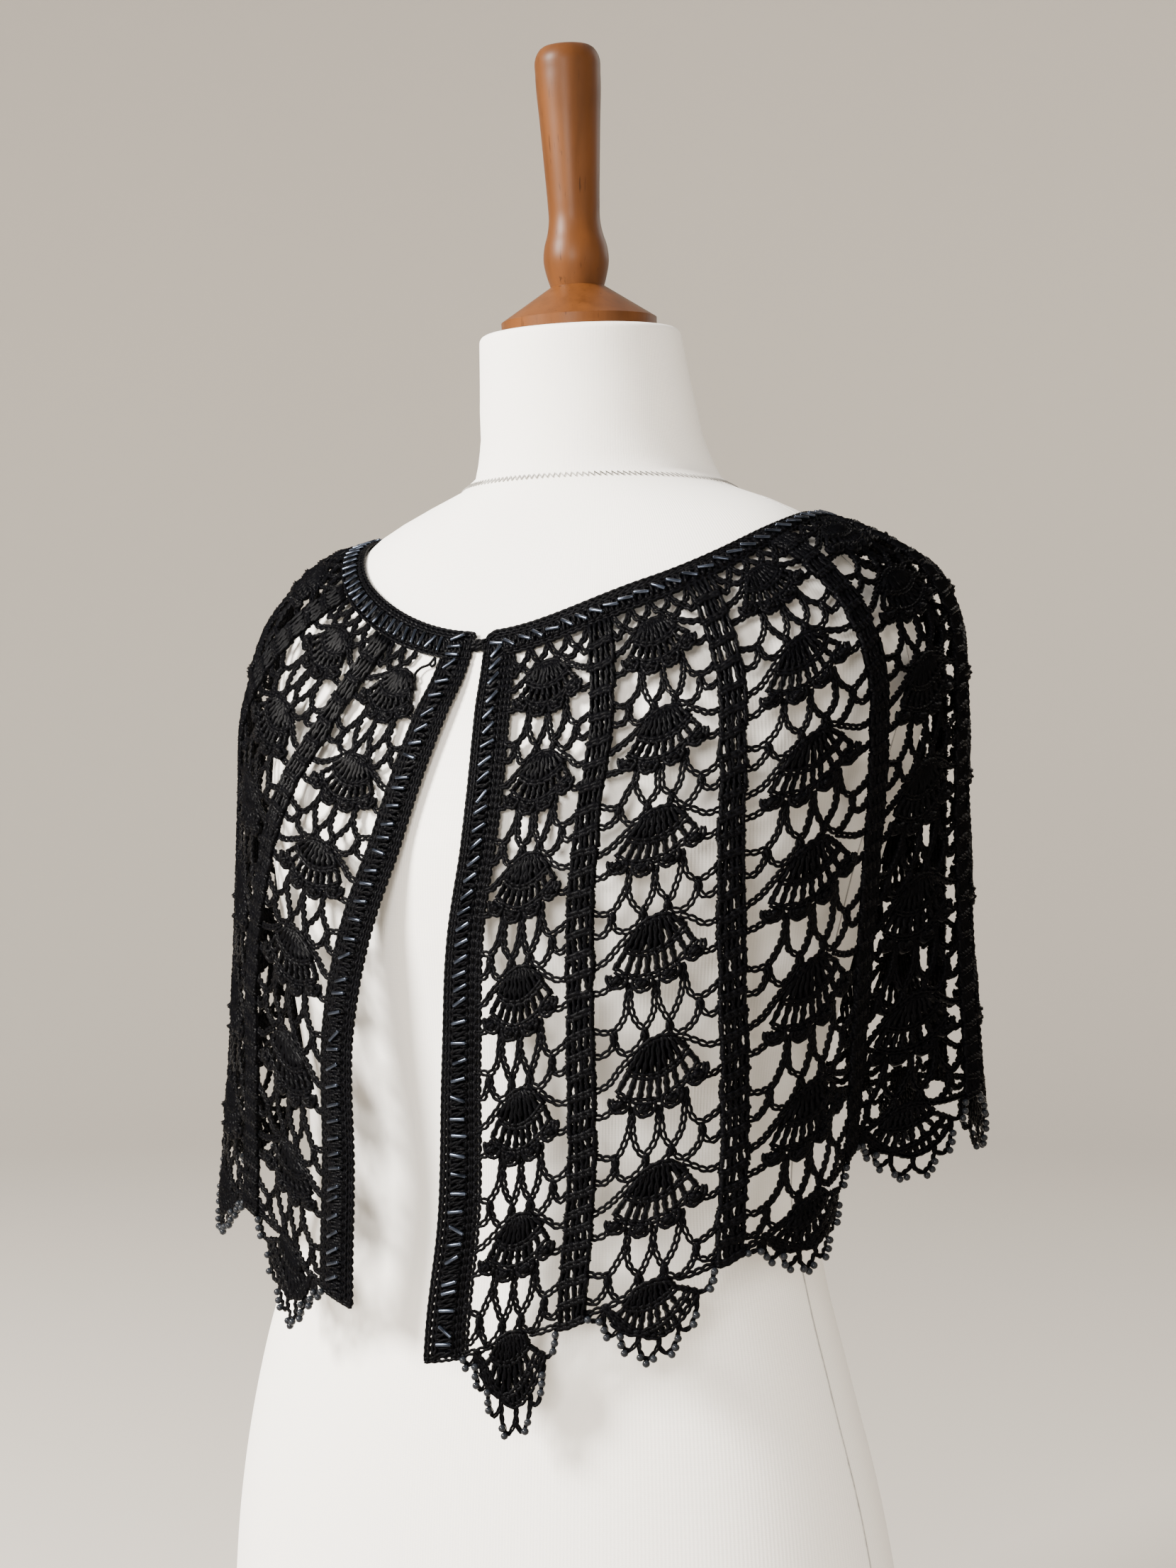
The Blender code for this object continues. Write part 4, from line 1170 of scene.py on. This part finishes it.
class CAPE_OT_neck_border(bpy.types.Operator):
    """Work the solid strip round the neckline and its fastening"""
    bl_idname = "cape.neck_border"
    bl_label = "Neck border"

    def execute(self, context):
        sizes, finish = yarn_tools(context)
        threads = Threads()
        for down, lift in NECK_CHAINS:
            threads.lay(*self.column(down), lift, sizes)
        for down in NECK_CORNER_CHAINS:
            for hand in (1, -1):
                line = self.corner(hand, down, NECK_CORNER_REACH)
                threads.lay(*line, NECK_CORNER_LIFT, sizes)
        self.cross_stitches(threads, sizes)
        over = threads.piece("neck_border_threads", finish)
        share = np.linspace(0.0030, NECK_BORDER_SHARE - 0.0008, 5)
        along = np.linspace(0.0, 1.0, 260)
        rows = []
        for down in share:
            start = CLOTH.border_place(0.003, down, 1)
            end = 2 + CLOTH.border_place(0.003, down, -1)
            rows.append(CLOTH.read(start + (end - start) * along, np.full(len(along), down)))
        ground = shell_piece("neck_border_ground", rows, finish, "neck_border")
        self.link(sizes, finish)
        return {"FINISHED"}

    def corner(self, hand, down, reach):
        """A line up a front edge and round the neck corner, as far as reach."""
        turn = max(NECK_CORNER_TURN[hand] - (down - NECK_CHAINS[0][0]) * 0.4, 0.0008)
        steps = np.linspace(0, math.pi / 2, 7)
        inward = np.concatenate(([down], down + turn * (1 - np.cos(steps)), [reach]))
        drop = np.concatenate(([NECK_BORDER_SHARE * CAPE_LENGTH],
                               down + turn * (1 - np.sin(steps)), [down]))
        inward, drop = (np.interp(np.linspace(0, 1, 40), np.linspace(0, 1, len(line)), line)
                        for line in (inward, drop))
        share = drop / CAPE_LENGTH
        return CLOTH.border_place(inward, share, hand), share

    def column(self, down):
        """A line all round the neck border from one front edge to the other."""
        left, left_share = self.corner(1, down, NECK_CHAIN_REACH)
        right, right_share = self.corner(-1, down, NECK_CHAIN_REACH)
        share = down / CAPE_LENGTH
        around = np.linspace(left[-1], 2 + right[-1], 400)[1:-1]
        side = np.concatenate((left, around, 2 + right[::-1]))
        return side, np.concatenate((left_share, np.full(len(around), share), right_share[::-1]))

    def cross_stitches(self, threads, sizes):
        """Short posts across the middle of the border."""
        start = CLOTH.border_place(0.007, 0.02, 1)
        end = 2 + CLOTH.border_place(0.007, 0.02, -1)
        side = np.linspace(start, end, NECK_POSTS)[:, None] + np.zeros((1, 5))
        share = np.linspace(*NECK_POST_SPAN, 5)[None] + np.zeros((NECK_POSTS, 1))
        luck = np.random.default_rng(3)
        side = side + luck.normal(0, 0.0016, (NECK_POSTS, 1)) * np.linspace(-1, 1, 5)[None]
        centre, facing = CLOTH.read(side, share)
        threads.twists(centre + facing * POST_LIFT, facing, sizes, BORDER_TURNS,
                       luck.uniform(0, 6.28, NECK_POSTS))

    def link(self, sizes, finish):
        """The small thread link that holds the neck corners together."""
        threads = Threads()
        for share, lift in LINK_TWISTS:
            left, right = (float(CLOTH.opening_edge(share, hand)) for hand in (1, -1))
            side = np.linspace(right - 0.002, left + 0.002, 8)
            centre, facing = CLOTH.read(side, np.full(len(side), share))
            threads.twists((centre + facing * lift)[None], facing[None], sizes, 1.0,
                           np.array([share * 99]))
        made = threads.piece("neck_link_threads", finish, "neck_link")


# Beads

def tube_bead(centre, along, length, radius, hole, sides=12):
    """Points and faces of one bugle bead with its hole."""
    along = np.asarray(along) / np.linalg.norm(along)
    helper = np.array((0.0, 0.0, 1.0)) if abs(along[2]) < 0.9 else np.array((1.0, 0.0, 0.0))
    first = np.cross(along, helper)
    first /= np.linalg.norm(first)
    second = np.cross(along, first)
    angle = np.linspace(0, 2 * math.pi, sides, endpoint=False)
    ring = np.cos(angle)[:, None] * first + np.sin(angle)[:, None] * second
    profile = ((radius * 0.93, -0.5), (radius, -0.47), (radius, 0.47), (radius * 0.93, 0.5),
               (hole, 0.5), (hole, -0.5))
    points = np.concatenate([centre + ring * r + along * length * h for r, h in profile])
    faces = grid_faces(len(profile), sides, closed=True)
    last = (len(profile) - 1) * sides
    faces += [(last + j, last + (j + 1) % sides, (j + 1) % sides, j) for j in range(sides)]
    return points, np.array(faces)


def round_bead(centre, radius, sides=10, rings=5):
    """Points and faces of one round bead, flattened a little at its holes."""
    points = []
    for i in range(rings):
        fall = math.pi * (0.09 + 0.82 * i / (rings - 1))
        wide = radius * math.sin(fall)
        high = radius * ROUND_BEAD_HEIGHT * math.cos(fall)
        for j in range(sides):
            turn = 2 * math.pi * j / sides
            points.append((wide * math.cos(turn), wide * math.sin(turn), high))
    faces = [tuple(reversed(face)) for face in grid_faces(rings, sides, closed=True)]
    half = sides // 2
    for start, flip in ((0, False), ((rings - 1) * sides, True)):
        for j in range(half - 1):
            face = (start + j, start + j + 1, start + sides - j - 2, start + sides - j - 1)
            faces.append(tuple(reversed(face)) if flip else face)
    return np.array(points) + centre, np.array(faces)


# Beads down each front border: how far down each lies, as a share of the length, and
# how far it leans up towards the panel, in degrees
BEAD_ROWS = {
    1: ((0.021, 0.032, 0.049, 0.067, 0.090, 0.108, 0.125, 0.143, 0.163, 0.182, 0.207, 0.224,
         0.247, 0.268, 0.290, 0.311, 0.333, 0.354, 0.375, 0.396, 0.418, 0.438, 0.457,
         0.476, 0.504, 0.533, 0.559, 0.584, 0.611, 0.639, 0.663, 0.691, 0.719, 0.746,
         0.772, 0.801, 0.825, 0.851, 0.892, 0.907, 0.935, 0.964, 0.980),
        (-11, 49, 46, 50, 47, 44, 45, 22, 32, 38, 50, 25, 25, 36, 31, 28, 30, 20, 23, 17, 21,
         13, 18, 24, 4, -9, 9, 4, -25, -9, -11, -18, -18, -9, -4, -32, -1, 23, 8, 6, -6,
         -40, -6)),
    -1: ((0.0110, 0.0225, 0.0325, 0.0450, 0.066, 0.083, 0.103, 0.121, 0.138, 0.154, 0.180,
          0.193, 0.217, 0.243, 0.262, 0.283, 0.311, 0.331, 0.358, 0.386, 0.416, 0.443, 0.481,
          0.502, 0.534, 0.569, 0.590, 0.617, 0.647, 0.675, 0.700, 0.727, 0.752, 0.774, 0.810,
          0.831, 0.867, 0.900, 0.930, 0.950, 0.973),
         (-27, -9, -1, -48, -15, -12, -39, -34, -12, 10, -8, -4, -7, -10, -4, 7, -9, -6, -11,
          -6, -10, -34, -27, -18, -26, -48, -19, -36, -27, -27, -26, -25, -28, -22, -33, -34, -35,
          -37, -36, -28, -32)),
}
BEAD_INWARD = {1: 0.0090, -1: 0.0097}
BUGLE_LIFT = 0.0034
NECK_BEADS_START = 0.016
NECK_BEADS_END = 0.0150
NECK_BEADS_SHARE = 0.022

# The round beads: height off the cloth, fall below the loop, and the distance between
# two beads of one loop and of two loops, in bead radii
HEM_BEAD_LIFT = 0.0026
HEM_BEAD_HANG = np.array((0.0, 0.0, -0.0020))
HEM_BEAD_STEP = 2.15
HEM_BEAD_ROOM = 1.9
ROUND_BEAD_HEIGHT = 0.94


class CAPE_OT_bugle_beads(bpy.types.Operator):
    """Sew the bugle beads down the fronts and round the neck"""
    bl_idname = "cape.bugle_beads"
    bl_label = "Bugle beads"

    def execute(self, context):
        size = context.scene.cape_beads
        # The bugles' brighter patches, nine times their colour, are painted reflection
        finish = bead_material("Gunmetal bugle glass", tuple(size.bugle_colour), painted_reflection_gain=9.0,
                               roughness=0.18, metal=0.9, shine=0.15)
        for hand in (1, -1):
            beads = Gathered()
            for inward, share, tilt in self.front_places(hand):
                beads.add(*self.bead(size, hand, inward, share, tilt))
            made = beads.piece(f"front_border_{SIDE_NAMES[hand]}_bugles", finish)
        beads = Gathered()
        luck = np.random.default_rng(11)
        side = float(CLOTH.border_place(NECK_BEADS_START, NECK_BEADS_SHARE, 1))
        end = 2 + float(CLOTH.border_place(NECK_BEADS_END, NECK_BEADS_SHARE, -1))
        while side < end:
            ahead = side < 1
            tilt = luck.normal(35, 12) if ahead else luck.normal(84, 8)
            beads.add(*self.neck_bead(size, side, 0.0222 + luck.normal(0, 0.0006), tilt))
            step = luck.normal(0.0078, 0.0007) if ahead else luck.normal(0.0062, 0.0005)
            side += step / CLOTH.half_round(NECK_BEADS_SHARE, 1 if ahead else -1)
        made = beads.piece("neck_border_bugles", finish)
        return {"FINISHED"}

    def front_places(self, hand):
        """Where each bead lies down a front border, and how it leans."""
        luck = np.random.default_rng(21 + hand)
        places = []
        for share, tilt in zip(*BEAD_ROWS[hand]):
            inward = BEAD_INWARD[hand] * border_growth(share) + luck.normal(0, 0.0003)
            places.append((inward, share, tilt))
        return places

    def bead(self, size, hand, inward, share, tilt):
        """One bead on a front border; tilt is degrees up towards the panel."""
        centre, facing = CLOTH.read(CLOTH.border_place(inward, share, hand), share)
        ahead, _ = CLOTH.read(CLOTH.border_place(inward + 0.001, share, hand), share)
        lower = share + 0.002
        below, _ = CLOTH.read(CLOTH.border_place(inward, lower, hand), lower)
        return self.sewn(size, centre, facing, unit(ahead - centre), unit(centre - below), tilt)

    def neck_bead(self, size, side, share, tilt):
        """One bead on the neck border; tilt is degrees off the line of the neck."""
        centre, facing = CLOTH.read(side, share)
        ahead, _ = CLOTH.read(side + 0.002, share)
        along_neck = unit(ahead - centre)
        down = np.cross(along_neck, facing)
        down *= -1 if down[2] > 0 else 1
        return self.sewn(size, centre, facing, along_neck, down, tilt)

    def sewn(self, size, centre, facing, first, second, tilt):
        """One bead on the cloth, turned from the first direction towards the second."""
        angle = math.radians(tilt)
        along = first * math.cos(angle) + second * math.sin(angle)
        return tube_bead(centre + facing * BUGLE_LIFT, along, size.bugle_length,
                         size.bugle_radius, size.bugle_radius * 0.5)


class CAPE_OT_round_beads(bpy.types.Operator):
    """Thread the round beads on the scallop loops"""
    bl_idname = "cape.round_beads"
    bl_label = "Round beads"

    def execute(self, context):
        size = context.scene.cape_beads
        # The round beads' brighter patches, twice their colour, are painted reflection
        finish = bead_material("Dark round glass", tuple(size.round_colour), painted_reflection_gain=2.0,
                               roughness=0.11, metal=0.0, shine=0.16)
        for hand in (1, -1):
            beads = Gathered()
            strung = []
            for number in range(1, PANELS_PER_SIDE + 1):
                for x, share in hem_loops():
                    for centre in self.places(x, share, hand, number, size.round_radius):
                        if all(math.dist(centre, other) > HEM_BEAD_ROOM * size.round_radius
                               for other in strung):
                            strung.append(centre)
                            beads.add(*round_bead(centre, size.round_radius))
            made = beads.piece(f"hem_{SIDE_NAMES[hand]}_beads", finish)
        return {"FINISHED"}

    def places(self, x, share, hand, number, radius):
        """Three beads side by side on the outer foot of one loop, as far as there is room."""
        keys = np.arange(len(x), dtype=float)
        at = np.linspace(0.0, keys[-1], 60)
        side = CLOTH.panel_place(curve(keys, x, at), curve(keys, share, at), hand, number)
        points, facing = CLOTH.read(side, curve(keys, share, at))
        run = run_along(points)
        middle = run[-1] * (0.5 + 0.14 * np.sign(np.mean(x)) * min(abs(np.mean(x)) * 4, 1.0))
        found = []
        for step in (-1, 0, 1):
            pick = int(np.argmin(np.abs(run - middle - step * radius * HEM_BEAD_STEP)))
            found.append(points[pick] + HEM_BEAD_HANG + facing[pick] * HEM_BEAD_LIFT)
        return found


# Dress form

def form_point(angle, height, shrink=0.0):
    """Points of the form's surface, leaned with the neck."""
    half_width, middle, front, back, squareness = form_section(height)
    rise = np.clip((height - NECK_BASE) / (NECK_TOP - NECK_BASE), 0.0, 1.0)
    power = 2 / squareness
    across = np.sign(np.sin(angle)) * np.abs(np.sin(angle)) ** power
    along = np.sign(np.cos(angle)) * np.abs(np.cos(angle)) ** power
    half_depth = np.where(along > 0, front + middle, back - middle)
    x = (half_width - shrink) * across
    y = -(half_depth - shrink) * along
    return np.stack((x, y + middle, height + rise * y * math.tan(NECK_LEAN)), axis=-1)


class CAPE_OT_dress_form(bpy.types.Operator):
    """Shape the jersey-covered body and sew its seams"""
    bl_idname = "cape.dress_form"
    bl_label = "Dress form"

    def execute(self, context):
        size = context.scene.cape_form
        edge = [(FORM_ROUNDING * (1 - math.cos(a)), FORM_ROUNDING * (1 - math.sin(a)))
                for a in np.linspace(0, math.pi / 2, 5)]
        low = [(FORM_FOOT + rise, shrink) for rise, shrink in edge]
        high = [(NECK_TOP - rise, shrink) for rise, shrink in reversed(edge)]
        between = np.linspace(FORM_FOOT + FORM_ROUNDING, NECK_TOP - FORM_ROUNDING, size.rings)
        levels = low + [(z, 0.0) for z in between[1:-1]] + high
        angle = np.linspace(0, 2 * math.pi, size.sides, endpoint=False)
        rings = [form_point(angle, np.full(size.sides, z), shrink) for z, shrink in levels]
        points = np.concatenate(rings)
        faces = grid_faces(len(rings), size.sides, closed=True) + end_caps(len(rings), size.sides)
        finish = jersey_material(tuple(size.jersey_colour))
        made = mesh_piece("form_torso_jersey", points, [faces], finish, "form_torso")
        self.seams(size)
        return {"FINISHED"}

    def seams(self, size):
        """Zigzag round the neck base, and the shoulder, side and back seams."""
        threads = Threads()
        angle = np.linspace(0, 2 * math.pi, 2 * ZIGZAGS + 1)
        height = NECK_BASE + 0.0011 * np.where(np.arange(len(angle)) % 2 == 0, 1.0, -1.0)
        self.sew(threads, angle, height, radius=0.00034, lift=0.00060)
        for high, place in ((NECK_BASE, 0.5), (NECK_BASE, -0.5), (NECK_TOP - 0.003, 1.0)):
            height = np.linspace(SEAM_FOOT, high, 120)
            angle = np.full(len(height), place * math.pi)
            self.sew(threads, angle, height, radius=0.00040, lift=0.00002)
        made = threads.piece("form_torso_seams", seam_material(scaled(size.jersey_colour, 0.50)))

    def sew(self, threads, angle, height, radius, lift):
        """A thread that lies along a line of the form."""
        centre = form_point(angle, height)
        ahead = form_point(angle + 0.01, height) - form_point(angle - 0.01, height)
        up = form_point(angle, height + 0.001) - form_point(angle, height - 0.001)
        facing = unit(np.cross(ahead, up))
        away = np.sum(facing * (centre - np.array((0, -0.02, 0))), axis=1, keepdims=True)
        facing = facing * np.sign(away + 1e-9)
        threads.strands((centre + facing * lift)[None], facing[None], radius)


def turned_profile(profile, sharp, steps=5):
    """Round off a profile between its sharp corners."""
    made = []
    runs = [0, *sharp, len(profile) - 1]
    for start, end in zip(runs[:-1], runs[1:]):
        part = profile[start:end + 1]
        radius, height = zip(*part)
        run = np.concatenate(([0.0], np.cumsum(np.hypot(np.diff(radius), np.diff(height)))))
        at = np.linspace(0, run[-1], steps * (len(part) - 1) + 1)
        if len(part) == 2:
            line = list(zip(np.interp(at, run, radius), np.interp(at, run, height)))
        else:
            line = list(zip(curve(run, radius, at), curve(run, height, at)))
        made += line if not made else line[1:]
    return made


def turned_piece(name, profile, sides, finish, node, place=None):
    """A lathe-turned piece that stands for its solid."""
    angle = np.linspace(0, 2 * math.pi, sides, endpoint=False)
    rings = [np.stack((r * np.cos(angle), r * np.sin(angle), np.full(sides, h)), axis=-1)
             for r, h in profile]
    points = np.concatenate(rings)
    if place is not None:
        turn = np.array(place.to_3x3())
        points = points @ turn.T + np.array(place.translation)
    faces = grid_faces(len(rings), sides, closed=True) + end_caps(len(rings), sides)
    made = mesh_piece(name, points, [faces], finish, node)
    made.data.set_sharp_from_angle(angle=SHARP_TURN)
    return made


class CAPE_OT_wood(bpy.types.Operator):
    """Turn the neck finial, pole and base"""
    bl_idname = "cape.wood"
    bl_label = "Turned wood"

    def execute(self, context):
        finish = wood_material(tuple(context.scene.cape_form.wood_colour))
        seat = Vector((0.0, NECK_TOP_Y, NECK_TOP))
        axis = Vector((0.0, -math.sin(NECK_LEAN), math.cos(NECK_LEAN)))
        place = Matrix.Translation(seat + axis * SEAM) @ Matrix.Rotation(NECK_LEAN, 4, "X")
        finial = turned_profile(FINIAL_PROFILE, (1, 2))
        turned_piece("neck_finial_turned", finial, 72, finish, "neck_finial", place)
        base = turned_profile(BASE_PROFILE, (1, 3), 4)
        turned_piece("stand_base_turned", base, 96, finish, "stand_base")
        foot = BASE_PROFILE[-1][1] + SEAM
        head = TORSO_BOX[0][2]
        pole = ((POLE_RADIUS * 0.96, foot), (POLE_RADIUS, foot + 0.001), (POLE_RADIUS, 0.0500),
                (POLE_RADIUS, head - 0.0013), (POLE_RADIUS * 0.96, head - SEAM))
        turned_piece("stand_pole_turned", pole, 48, finish, "stand_pole")
        return {"FINISHED"}


# Studio

CAMERA_PLACE = (0.6955, -1.0819, 0.575)
CAMERA_LOOK = (-0.5446, 0.8387, 0.0)
SWEEP_FLAT = 2.6
SWEEP_BEND = 1.6
# Name, place, height aimed at, width and colour of each light
LIGHTS = (
    ("key", (-1.25, -2.0, 1.85), 0.52, 0.9, (1.0, 0.96, 0.90)),
    ("fill", (2.2, -0.7, 1.0), 0.5, 1.6, (1.0, 0.90, 0.78)),
    ("back", (0.6, 2.2, 1.9), 0.5, 1.4, (1.0, 0.97, 0.93)),
    ("front", (0.75, -2.3, 1.05), 0.5, 0.8, (1.0, 0.96, 0.91)),
)


class CAPE_OT_stage(bpy.types.Operator):
    """Set the camera, the soft lights and the pale sweep"""
    bl_idname = "cape.stage"
    bl_label = "Studio"

    def execute(self, context):
        size = context.scene.cape_stage
        self.camera(context, size)
        self.sweep(size)
        self.lights(context, size)
        return {"FINISHED"}

    def camera(self, context, size):
        """A level camera at the photograph's angle."""
        lens = bpy.data.cameras.new("camera")
        lens.lens = size.focal_length
        lens.sensor_width = 36.0
        lens.clip_start = 0.05
        lens.clip_end = 60.0
        made = bpy.data.objects.new("camera", lens)
        context.scene.collection.objects.link(made)
        made.location = CAMERA_PLACE
        made.rotation_euler = Vector(CAMERA_LOOK).to_track_quat("-Z", "Y").to_euler()
        context.scene.camera = made

    def sweep(self, size):
        """A pale floor that curves up all round."""
        profile = [(0.001, 0.0), (1.0, 0.0), (SWEEP_FLAT, 0.0)]
        for step in np.linspace(0, math.pi / 2, 14)[1:]:
            profile.append((SWEEP_FLAT + SWEEP_BEND * math.sin(step),
                            SWEEP_BEND * (1 - math.cos(step))))
        profile.append((4.2, 5.0))
        angle = np.linspace(0, 2 * math.pi, 96, endpoint=False)
        points = [(r * math.cos(a), r * math.sin(a), z) for r, z in profile for a in angle]
        mesh = bpy.data.meshes.new("floor")
        mesh.from_pydata(points, [], grid_faces(len(profile), len(angle), closed=True))
        mesh.shade_smooth()
        made = bpy.data.objects.new("floor", mesh)
        bpy.context.scene.collection.objects.link(made)
        made.location.z = -0.0003
        colour = tuple(size.ground_colour)
        finish, *_ = start_material("Pale floor", colour, scaled(colour, 0.985), patch=0.8,
                                    roughness=0.9, shift=0.02)
        mesh.materials.append(finish)

    def lights(self, context, size):
        """A large soft light at the left, weak ones at the right, back and front, and a sky."""
        powers = {"key": size.key_power, "fill": size.fill_power,
                  "back": size.fill_power, "front": size.front_power}
        for name, place, aim, width, colour in LIGHTS:
            light = bpy.data.lights.new(name, "AREA")
            light.shape = "DISK"
            light.size = width
            light.energy = powers[name]
            light.color = colour
            made = bpy.data.objects.new(name, light)
            context.scene.collection.objects.link(made)
            made.location = place
            look = Vector((0.0, 0.0, aim)) - Vector(place)
            made.rotation_euler = look.to_track_quat("-Z", "Y").to_euler()
        world = bpy.data.worlds.new("soft sky")
        world.use_nodes = True
        set_inputs(world.node_tree.nodes["Background"],
                   {"Color": (0.97, 0.98, 1.0, 1.0), "Strength": 0.80})
        context.scene.world = world


class CAPE_PT_panel(bpy.types.Panel):
    """Lists the settings and steps of the cape"""
    bl_idname = "CAPE_PT_panel"
    bl_label = "Crochet cape"
    bl_space_type = "VIEW_3D"
    bl_region_type = "UI"
    bl_category = "Cape"

    def draw(self, context):
        for settings in (context.scene.cape_yarn, context.scene.cape_beads,
                         context.scene.cape_form, context.scene.cape_stage):
            box = self.layout.box()
            for name in settings.__annotations__:
                box.prop(settings, name)
        for step in STEPS:
            self.layout.operator(step)


CLASSES = (CapeYarnSettings, CapeBeadSettings, CapeFormSettings, CapeStageSettings,
           CAPE_OT_dress_form, CAPE_OT_wood, CAPE_OT_lace_panels, CAPE_OT_front_borders,
           CAPE_OT_neck_border, CAPE_OT_bugle_beads, CAPE_OT_round_beads, CAPE_OT_stage,
           CAPE_PT_panel)
STEPS = ("cape.dress_form", "cape.wood", "cape.lace_panels", "cape.front_borders",
         "cape.neck_border", "cape.bugle_beads", "cape.round_beads", "cape.stage")
SETTINGS = {"cape_yarn": CapeYarnSettings, "cape_beads": CapeBeadSettings,
            "cape_form": CapeFormSettings, "cape_stage": CapeStageSettings}


def register():
    """Add the settings, the operators and the panel."""
    for kind in CLASSES:
        bpy.utils.register_class(kind)
    for name, kind in SETTINGS.items():
        setattr(bpy.types.Scene, name, bpy.props.PointerProperty(type=kind))


def unregister():
    """Take them out again."""
    for name in SETTINGS:
        delattr(bpy.types.Scene, name)
    for kind in reversed(CLASSES):
        bpy.utils.unregister_class(kind)


def main():
    """Build the cape, its form and the studio."""
    register()
    for step in STEPS:
        group, name = step.split(".")
        getattr(getattr(bpy.ops, group), name)()


if __name__ == "__main__":
    main()
